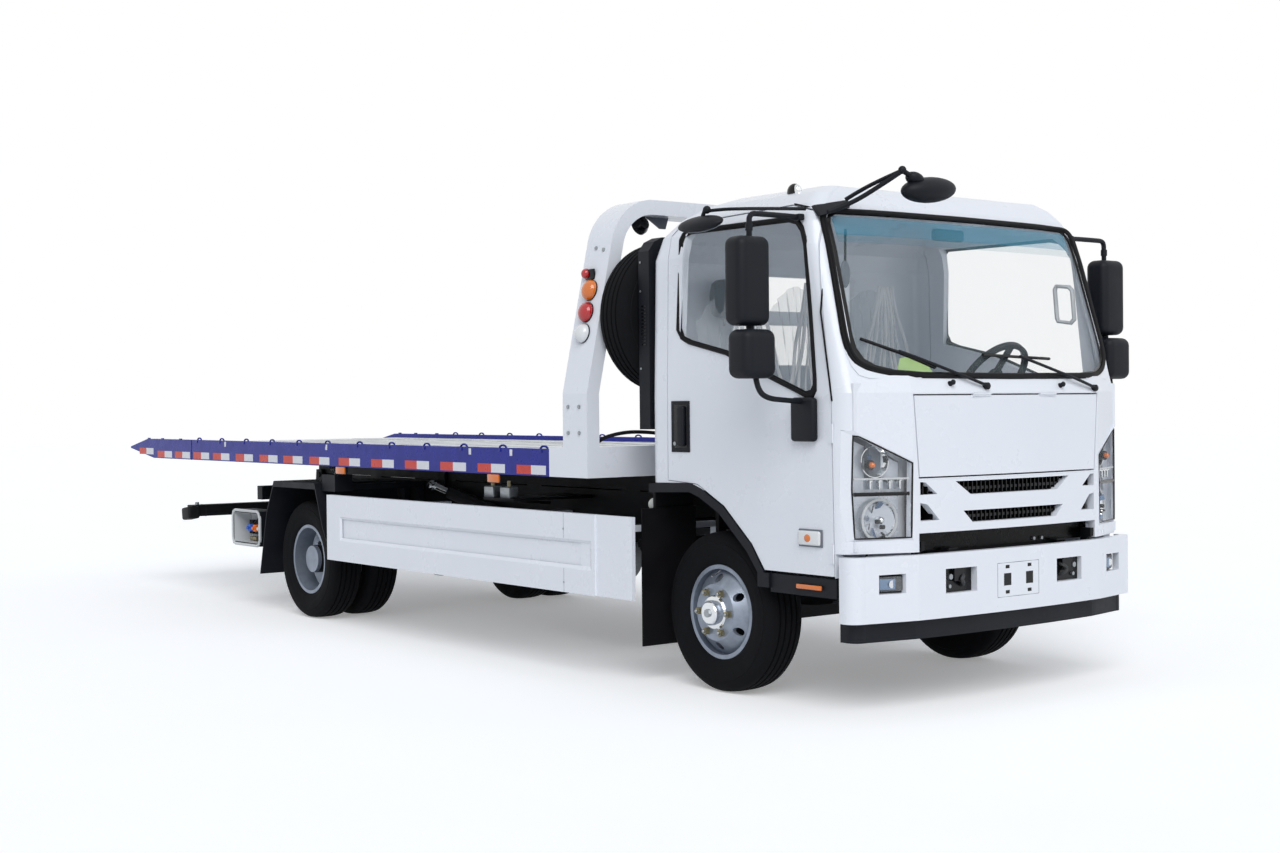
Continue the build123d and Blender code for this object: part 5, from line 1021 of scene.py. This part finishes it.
class BedDetail(bpy.types.Operator):
    """Adds the rails' reflective tape, side markers, tie-down loops, deck ribs and the tail's joint"""
    bl_idname = "towtruck.bed_detail"
    bl_label = "Bed detail"

    def execute(self, context):
        """Lays the tape along both rails and the loops along their tops."""
        sizes = context.scene.tow_bed
        tape_starts = (-1.804, -1.401, -0.991, -0.576, -0.155, 0.276, 0.690, 1.075, 1.450, 1.839, 2.232,
                       2.585, 2.934, 3.275, 3.640)
        for side, word in BOTH_SIDES:
            skin = side * RAIL_X
            tape = Piece(f"rail_tape_{word}", "bed", "blue_paint")
            for start in tape_starts:
                half = sizes.tape_length / 2 - 0.008
                low = 1.056 + max(0.0, start + half - TAIL_Y) * TAIL_RISE
                for y, look in ((start, "white_tape"), (start + half, "red_tape")):
                    tape.box((skin, y, low), (skin + side * 0.0012, y + half, low + sizes.tape_height), look)
            tape.done()
            marks = Piece(f"rail_fittings_{word}", "bed", "blue_paint")
            for y in (-1.76, -1.352, -0.940, -0.520, -0.098, 0.312, 0.748, 1.160, 1.570, 1.985, 2.400, 2.800):
                marks.tube([(skin - side * 0.020, y - 0.038, 1.192), (skin - side * 0.020, y - 0.030, 1.212),
                            (skin - side * 0.020, y + 0.030, 1.212), (skin - side * 0.020, y + 0.038, 1.192)],
                           0.006, "cobalt_enamel", sides=8)
                marks.box((skin, y - 0.011, 1.176), (skin + side * 0.004, y + 0.011, 1.194), "cobalt_enamel",
                          0.003)
            for y in (2.30, 0.73, -1.036, -1.464):
                marks.box((skin, y - 0.013, 1.154), (skin + side * 0.002, y + 0.013, 1.190), "white_tape",
                          0.0008)
            marks.box((skin, 2.899, 1.046), (skin + side * 0.0015, 2.907, 1.198), "epdm_rubber")
            for y in (3.10, 3.45, 3.72):
                marks.box((skin - side * 0.012, y, 1.196), (skin - side * 0.002, y + 0.045, 1.206),
                          "cobalt_enamel", 0.003)
            marks.done()
            lamps = Piece(f"side_markers_{word}", "bed", "lamp_lens")
            for y in (0.545, -1.277):
                lamps.box((skin - side * 0.012, y - 0.058, 1.000), (skin + side * 0.004, y + 0.058, 1.047),
                          "amber_acrylic", 0.006)
                lamps.box((skin - side * 0.020, y - 0.062, 0.996), (skin - side * 0.010, y + 0.062, 1.050),
                          "black_polypropylene", 0.003)
                lamps.box((skin - side * 0.040, y - 0.030, 1.010), (skin - side * 0.018, y + 0.030, 1.049),
                          "chassis_black")
            lamps.done()
        deck = Piece("deck_ribs", "bed", "deck_paint")
        ribs, first_rib, rib_spacing = 13, -1.60, 0.39
        for index in range(ribs):
            y = first_rib + rib_spacing * index
            deck.box((-1.085, y, 1.1645), (1.085, y + 0.010, 1.1675), "zinc_plate", 0.001)
        for x in (-0.62, 0.62):
            deck.box((x - 0.004, -1.74, 1.1645), (x + 0.004, 3.65, 1.1665), "zinc_plate")
        deck.done()
        return {"FINISHED"}


class GantryDetail(bpy.types.Operator):
    """Adds the gantry's lamps, bolts, work lamp and gusset, and the hose over the deck"""
    bl_idname = "towtruck.gantry_detail"
    bl_label = "Gantry detail"

    def execute(self, context):
        """Places the lamps on the leaning posts."""
        for side, word in BOTH_SIDES:
            lamps = Piece(f"gantry_lamps_{word}", "bed", "lamp_lens")
            for z, radius, look in ((2.046, 0.056, "amber_acrylic"), (1.928, 0.054, "red_acrylic"),
                                    (1.815, 0.052, "white_acrylic")):
                foot = Vector((side * post_x(z), -2.072, z))
                out = Vector((side * 0.98, 0, 0.21))
                lamps.turned([(0.0, 0.0), (radius + 0.002, 0.0), (radius + 0.002, 0.007), (0.0, 0.007)],
                             foot, out, "black_polypropylene", 32)
                lamps.turned([(0.0, 0.005), (radius, 0.005), (radius, 0.014), (radius * 0.90, 0.026),
                              (radius * 0.70, 0.037), (radius * 0.4, 0.044), (0.0, 0.047)], foot, out, look,
                             32)
            x = post_x(2.132)
            lamps.box((side * (x - 0.004), -2.090, 2.104), (side * (x + 0.012), -2.006, 2.164),
                      "gloss_black_abs", 0.004, ("Y", side * 12, (side * x, -2.04, 2.13)))
            lamps.ball((side * (x + 0.014), -2.022, 2.139), (0.026, 0.028, 0.028), "red_acrylic", rows=10)
            for y, z in ((-2.02, 1.425), (-2.12, 1.425), (-2.02, 1.286), (-2.12, 1.286), (-2.06, 2.275),
                         (-2.13, 2.262)):
                x = post_x(z)
                lamps.rod((side * (x - 0.004), y, z), (side * (x + 0.007), y, z), 0.011, "zinc_plate",
                          sides=6)
            lamps.done()
        work = Piece("work_lamp", "bed", "black_plastic")
        centre, facing = (-0.676, -2.06, 2.420), (-0.15, 1.0, -0.35)
        work.turned([(0.0, -0.030), (0.036, -0.026), (0.052, 0.0), (0.054, 0.022), (0.050, 0.026),
                     (0.0, 0.026)], centre, facing, "gloss_black_abs", 32)
        work.turned([(0.0, 0.020), (0.047, 0.020), (0.047, 0.028), (0.0, 0.031)], centre, facing,
                    "white_acrylic", 32)
        work.box((-0.688, -2.085, 2.440), (-0.664, -2.045, 2.464), "black_polypropylene", 0.003)
        work.plate([(-0.66, -2.08, 2.461), (-0.50, -2.08, 2.461), (-0.52, -2.08, 2.400),
                    (-0.56, -2.08, 2.400)], (0, 0.008, 0), "grey_polypropylene")
        work.done()
        hose = Piece("gantry_hose", "bed", "black_plastic")
        hose.tube([(-1.075, -2.10, 1.18), (-1.06, -2.16, 1.25), (-0.95, -2.20, 1.283), (-0.82, -2.21, 1.290),
                   (-0.60, -2.20, 1.270), (-0.45, -2.18, 1.200)], 0.010, "epdm_rubber")
        hose.done()
        return {"FINISHED"}


class Interior(bpy.types.Operator):
    """Adds the padded seats under their clear film, the dashboard's fittings and the grab handles"""
    bl_idname = "towtruck.interior"
    bl_label = "Interior"

    def execute(self, context):
        """Builds the seats as crowned pads, then the film and fittings."""
        seats = Piece("padded_seats", "cab", "seat_cloth")
        film = Piece("seat_film", "cab", "clear_glass")
        base, folds = SEAT_BASE_Z, 9
        for x, width in ((0.430, 0.480), (-0.130, 0.380), (-0.560, 0.440)):
            half = width / 2
            seats.cushion((x, -3.02, base + 0.100), (half - 0.004, 0.236, 0.094), "seat_cloth", 0.26)
            seats.cushion((x, -2.726, base + 0.455), (half - 0.004, 0.062, 0.330), "seat_cloth", 0.30,
                          ("X", -7))
            seats.cushion((x, -2.676, base + 0.900), (0.128, 0.046, 0.105), "seat_cloth", 0.34)
            for dx in (-0.05, 0.05):
                seats.rod((x + dx, -2.672, base + 0.76), (x + dx, -2.676, base + 0.86), 0.007, "zinc_plate")
            film.drape((x, -2.790, base + 0.56), (half + 0.004, 0.42), "polythene_film")
            for index in range(folds):
                spread = 2 * index / (folds - 1) - 1
                path = [(x + spread * half * (0.18 + 0.92 * k / 5), -2.822 - 0.014 * sin(2.4 * k + index),
                         base + 0.99 - (0.80 - 0.10 * (index % 3)) * k / 5) for k in range(6)]
                film.tube(path, 0.0055 if index % 2 else 0.010, "film_folds", sides=8)
        seats.done(stands_for=("seats",))
        film.done(smooth=60.0)
        dash = Piece("dash_fittings", "cab", "grey_plastic")
        dash.box((0.24, -3.800, 1.470), (0.62, -3.660, 1.560), "black_polypropylene", 0.030, segments=4)
        for x in (-0.70, -0.10, 0.10, 0.76):
            dash.box((x - 0.06, -3.672, 1.395), (x + 0.06, -3.650, 1.445), "gloss_black_abs", 0.008,
                     ("X", 20, (x, -3.66, 1.42)))
        dash.box((-0.05, -3.720, 1.180), (0.12, -3.690, 1.330), "gloss_black_abs", 0.008,
                 ("X", 22, (0, -3.70, 1.25)))
        rear = [(0.80, -3.56), (-0.80, -3.56)]
        lip = [on_front(x, 1.575, -0.050) for x in (-0.80, -0.60, -0.30, 0.0, 0.30, 0.60, 0.80)]
        dash.plate([(p.x, p.y, 1.556) for p in lip] + [(x, y, 1.556) for x, y in rear], (0, 0, -0.046),
                   "grey_polypropylene", 0.010)
        dash.plate([(-0.60, -3.890, 1.557), (-0.33, -3.890, 1.557), (-0.38, -3.862, 1.632),
                    (-0.46, -3.855, 1.650), (-0.54, -3.860, 1.640)], (0, 0.003, 0), "green_paper")
        dash.rod((-0.05, -3.42, 1.02), (-0.07, -3.36, 1.30), 0.009, "zinc_plate")
        dash.ball((-0.07, -3.355, 1.32), (0.026, 0.026, 0.030), "black_polypropylene")
        dash.done()
        grips = Piece("cab_grips", "cab", "grey_plastic")
        loop = [(-0.868, -3.665, 1.852), (-0.860, -3.662, 1.870), (-0.858, -3.650, 2.020),
                (-0.860, -3.660, 2.038), (-0.866, -3.735, 2.030), (-0.872, -3.752, 2.010),
                (-0.876, -3.762, 1.860), (-0.872, -3.742, 1.840)]
        for side in SIGNS:
            grips.tube(handed(loop, side), 0.012, "pale_grey_abs", closed=True, smooth=False)
        grips.box((-0.11, -3.690, 2.230), (0.11, -3.660, 2.290), "black_polypropylene", 0.014)
        grips.ball((-0.739, -3.700, 2.040), (0.032, 0.010, 0.066), "grey_polypropylene")
        grips.rod((-0.739, -3.700, 2.100), (-0.735, -3.700, 2.250), 0.006, "gloss_black_abs", sides=8)
        grips.done()
        return {"FINISHED"}


class ChassisDetail(bpy.types.Operator):
    """Adds the control box's fittings, washer tank, straps, valves, hoses, rear lenses and skirt panels"""
    bl_idname = "towtruck.chassis_detail"
    bl_label = "Chassis detail"

    def execute(self, context):
        """Dresses what hangs on the frame."""
        box = Piece("control_box_fittings", "chassis", "grey_plastic")
        near, far, floor, top = 1.803, 2.247, 0.453, 0.697
        inset, cut = 0.045, 0.013
        rim = [(near + inset, floor), (far - inset, floor), (far - cut, floor + cut), (far, floor + inset),
               (far, top - inset), (far - cut, top - cut), (far - inset, top), (near + inset, top),
               (near + cut, top - cut), (near, top - inset), (near, floor + inset), (near + cut, floor + cut)]
        # The pocket's pale lining: its back, sides, floor and top
        lining = (((0.979, 1.821, 0.471), (0.982, 2.229, 0.679)),
                  ((0.979, 1.819, 0.471), (1.118, 1.822, 0.679)), ((0.979, 2.228, 0.471),
                                                                   (1.118, 2.231, 0.679)),
                  ((0.979, 1.821, 0.469), (1.118, 2.229, 0.472)), ((0.979, 1.821, 0.678),
                                                                   (1.118, 2.229, 0.681)))
        for side in SIGNS:
            box.tube([(side * CONTROL_BOX_X, y, z) for y, z in rim], 0.011, "pale_grey_abs", closed=True,
                     smooth=False)
            for p, q in lining:
                box.box((side * p[0], p[1], p[2]), (side * q[0], q[1], q[2]), "pale_grey_abs")
            for y, look in ((2.08, "blue_abs"), (1.995, "orange_abs"), (1.91, "white_polyethylene"),
                            (1.86, "gloss_black_abs")):
                box.box((side * 1.000, y - 0.022, 0.545), (side * 1.075, y + 0.022, 0.595), look, 0.006)
                box.rod((side * 1.07, y, 0.57), (side * 1.09, y, 0.57), 0.012, look)
            box.tube(handed([(-1.02, 1.86, 0.60), (-1.06, 1.88, 0.64), (-1.06, 1.95, 0.645),
                             (-1.06, 2.02, 0.60)], side), 0.008, "epdm_rubber")
            box.box((side * 1.00, 2.02, 0.476), (side * 1.05, 2.12, 0.505), "chromate_nut", 0.006)
        box.done()
        tank = Piece("washer_tank", "cab", "grey_plastic")
        tank.box((-0.960, -2.496, 0.752), (-0.800, -2.400, 0.826), "grey_polypropylene", 0.024, segments=4)
        tank.box((-0.930, -2.490, 0.812), (-0.826, -2.410, 0.886), "white_polyethylene", 0.018, segments=4)
        tank.rod((-0.906, -2.452, 0.876), (-0.906, -2.452, 0.900), 0.022, "white_polyethylene")
        tank.ball((-0.906, -2.452, 0.913), (0.037, 0.037, 0.034), "white_polyethylene")
        louvres, lowest, louvre_spacing = 12, 1.74, 0.018
        for index in range(louvres):
            z = lowest + louvre_spacing * index
            tank.box((-0.9945, -2.500, z), (-0.9900, -2.462, z + 0.009), "gloss_black_abs", 0.001)
        for z in (1.62, 2.02, 2.17):
            tank.rod((-0.9900, -2.455, z), (-0.9950, -2.455, z), 0.006, "zinc_plate", sides=8)
        tank.box((-0.960, -2.522, 0.880), (-0.700, -2.500, 1.025), "chassis_black", 0.004)
        tank.done()
        straps = Piece("tank_straps", "chassis", "black_paint")
        for y in (-1.79, -1.31):
            for z in (0.762, 0.394):
                straps.box((0.470, y - 0.022, z), (0.945, y + 0.022, z + 0.004), "zinc_plate")
            straps.box((0.944, y - 0.022, 0.430), (0.949, y + 0.022, 0.730), "zinc_plate")
        straps.done()
        valve = Piece("valve_fittings", "chassis", "grey_plastic")
        levers, first_lever, lever_spacing = 5, 0.672, 0.032
        for index in range(levers):
            y = first_lever + lever_spacing * index
            valve.rod((-1.06, y, 0.985), (-1.085, y, 1.030), 0.004, "zinc_plate", sides=8)
            valve.ball((-1.086, y, 1.034), (0.009, 0.009, 0.009), "gloss_black_abs", rows=6)
        for y in (-1.01, -1.18):
            valve.box((-1.010, y - 0.05, 0.900), (-0.940, y + 0.05, 0.965), "zinc_plate", 0.008)
            valve.rod((-0.975, y, 0.960), (-0.975, y, 1.000), 0.012, "chromate_nut", sides=6)
            valve.tube([(-0.96, y, 0.93), (-0.90, y + 0.05, 0.90), (-0.80, y + 0.2, 0.87),
                        (-0.60, y + 0.3, 0.85), (-0.47, y + 0.32, 0.84)], 0.009, "epdm_rubber")
        valve.box((-1.000, -1.26, 0.882), (-0.430, -0.94, 0.900), "chassis_black", 0.003)
        valve.done()
        rear = Piece("rear_lamp_lenses", "chassis", "lamp_lens")
        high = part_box("tail_lamps")[1]
        for side in SIGNS:
            for x0, x1, look in ((0.570, 0.680, "red_acrylic"), (0.685, 0.790, "amber_acrylic"),
                                 (0.795, 0.890, "white_acrylic")):
                rear.box((side * x0, high.y - 0.004, 0.772), (side * x1, high.y + 0.012, 0.848), look, 0.008)
        rear.done()
        skirts = Piece("skirt_seams", "chassis", "white_paint")
        panel = [(-2.290, 0.572), (0.455, 0.572), (0.455, 0.728), (-2.290, 0.728)]
        inner = [(-2.262, 0.592), (0.439, 0.592), (0.439, 0.712), (-2.262, 0.712)]
        edge = [(-2.318, 0.4425), (0.6295, 0.4425), (0.6295, 0.8645), (-2.318, 0.8645)]
        front_corner = ((-2.322, 0.4425), (-2.6195, 0.522), (-2.6195, 0.4425))
        steps = ((edge, 0.0), (edge, 0.012), (panel, 0.012), (inner, 0.001), (inner, 0.0))
        for side, word in BOTH_SIDES:
            rings = [[Vector((side * (SKIRT_X + proud), y, z)) for y, z in ring] for ring, proud in steps]
            shell = Piece(f"skirt_panel_{word}", "chassis", "white_paint")
            for outer, within in zip(rings, rings[1:] + rings[:1]):
                shell.band(outer, within, "white_enamel")
            bmesh.ops.remove_doubles(shell.bm, verts=list(shell.bm.verts), dist=0.0001)
            bmesh.ops.recalc_face_normals(shell.bm, faces=list(shell.bm.faces))
            shell.done(smooth=20.0)
            skirts.plate([(side * 1.1921, y, z) for y, z in front_corner], (side * -0.022, 0, 0),
                         "white_enamel")
            for z in (0.495, 0.779):
                skirts.rod((side * 1.203, -2.040, z), (side * 1.2065, -2.040, z), 0.006, "zinc_plate",
                           sides=6)
            for low, high in ((0.444, 0.570), (0.730, 0.863)):
                skirts.box((side * 1.2040, -2.0415, low), (side * 1.2046, -2.0395, high),
                           "grey_polypropylene")
        skirts.done()
        return {"FINISHED"}


class UnderliftDetail(bpy.types.Operator):
    """Adds the crossbar's pins, collars and end heads, and the winch's rope"""
    bl_idname = "towtruck.underlift_detail"
    bl_label = "Underlift detail"

    def execute(self, context):
        """Dresses the crossbar's ends and lays rope on the winch's drum."""
        bar = Piece("crossbar_fittings", "lift_crossbar", "black_paint")
        low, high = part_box("lift_crossbar")
        middle_y, middle_z = high.y - 0.045, (low.z + high.z) / 2
        for side in SIGNS:
            bar.rod((side * 0.960, middle_y, high.z - 0.088), (side * 0.960, middle_y, high.z), 0.0155,
                    "zinc_plate")
            bar.box((side * (high.x - 0.052), middle_y - 0.070, middle_z - 0.066),
                    (side * (high.x + 0.040), middle_y + 0.075, middle_z + 0.030), "chassis_black", 0.016,
                    ("X", -8, (0, middle_y, middle_z)), 3)
            bar.box((side * 0.900, middle_y - 0.046, middle_z - 0.046),
                    (side * 0.912, middle_y + 0.046, middle_z + 0.046), "chassis_black", 0.002)
        bar.done()
        rope = Piece("winch_rope", "winch_drum", "bare_steel")
        low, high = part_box("winch_drum")
        centre = (low + high) / 2
        turns, first_turn, pitch = 28, -0.166, 0.0123
        for index in range(turns):
            x = first_turn + pitch * index
            rope.turned([(0.078, x - 0.0058), (0.086, x - 0.0045), (0.090, x), (0.086, x + 0.0045),
                         (0.078, x + 0.0058)], centre, (1, 0, 0), "wire_rope", 40)
        rope.done()
        return {"FINISHED"}


GROUPS = (TruckFinishes, TruckStage, Windscreen, Headlamps, CabTrim, Mirrors, FrontDetail, Wheels, BedDetail,
          GantryDetail, Interior, ChassisDetail, UnderliftDetail)
SETTINGS = (("tow_cab", CabSizes), ("tow_bed", BedSizes), ("tow_paints", PaintColours))


class TruckPanel(bpy.types.Panel):
    """Lists the truck's groups of pieces"""
    bl_idname = "VIEW3D_PT_towtruck"
    bl_label = "Tow truck"
    bl_space_type = "VIEW_3D"
    bl_region_type = "UI"
    bl_category = "Tow truck"

    def draw(self, context):
        """Shows one button for each group and the settings."""
        for group in GROUPS:
            self.layout.operator(group.bl_idname)
        for name, settings in SETTINGS:
            for field in settings.__annotations__:
                self.layout.prop(getattr(context.scene, name), field)


def register():
    """Registers the classes and the scene's settings."""
    for item in (*(settings for _, settings in SETTINGS), *GROUPS, TruckPanel):
        bpy.utils.register_class(item)
    for name, settings in SETTINGS:
        setattr(bpy.types.Scene, name, bpy.props.PointerProperty(type=settings))


def unregister():
    """Removes the classes and the scene's settings."""
    for name, _ in SETTINGS:
        delattr(bpy.types.Scene, name)
    for item in (TruckPanel, *GROUPS[::-1], *(settings for _, settings in SETTINGS[::-1])):
        bpy.utils.unregister_class(item)


def main():
    register()
    for group in GROUPS:
        area, name = group.bl_idname.split(".")
        getattr(getattr(bpy.ops, area), name)()


if __name__ == "__main__":
    main()
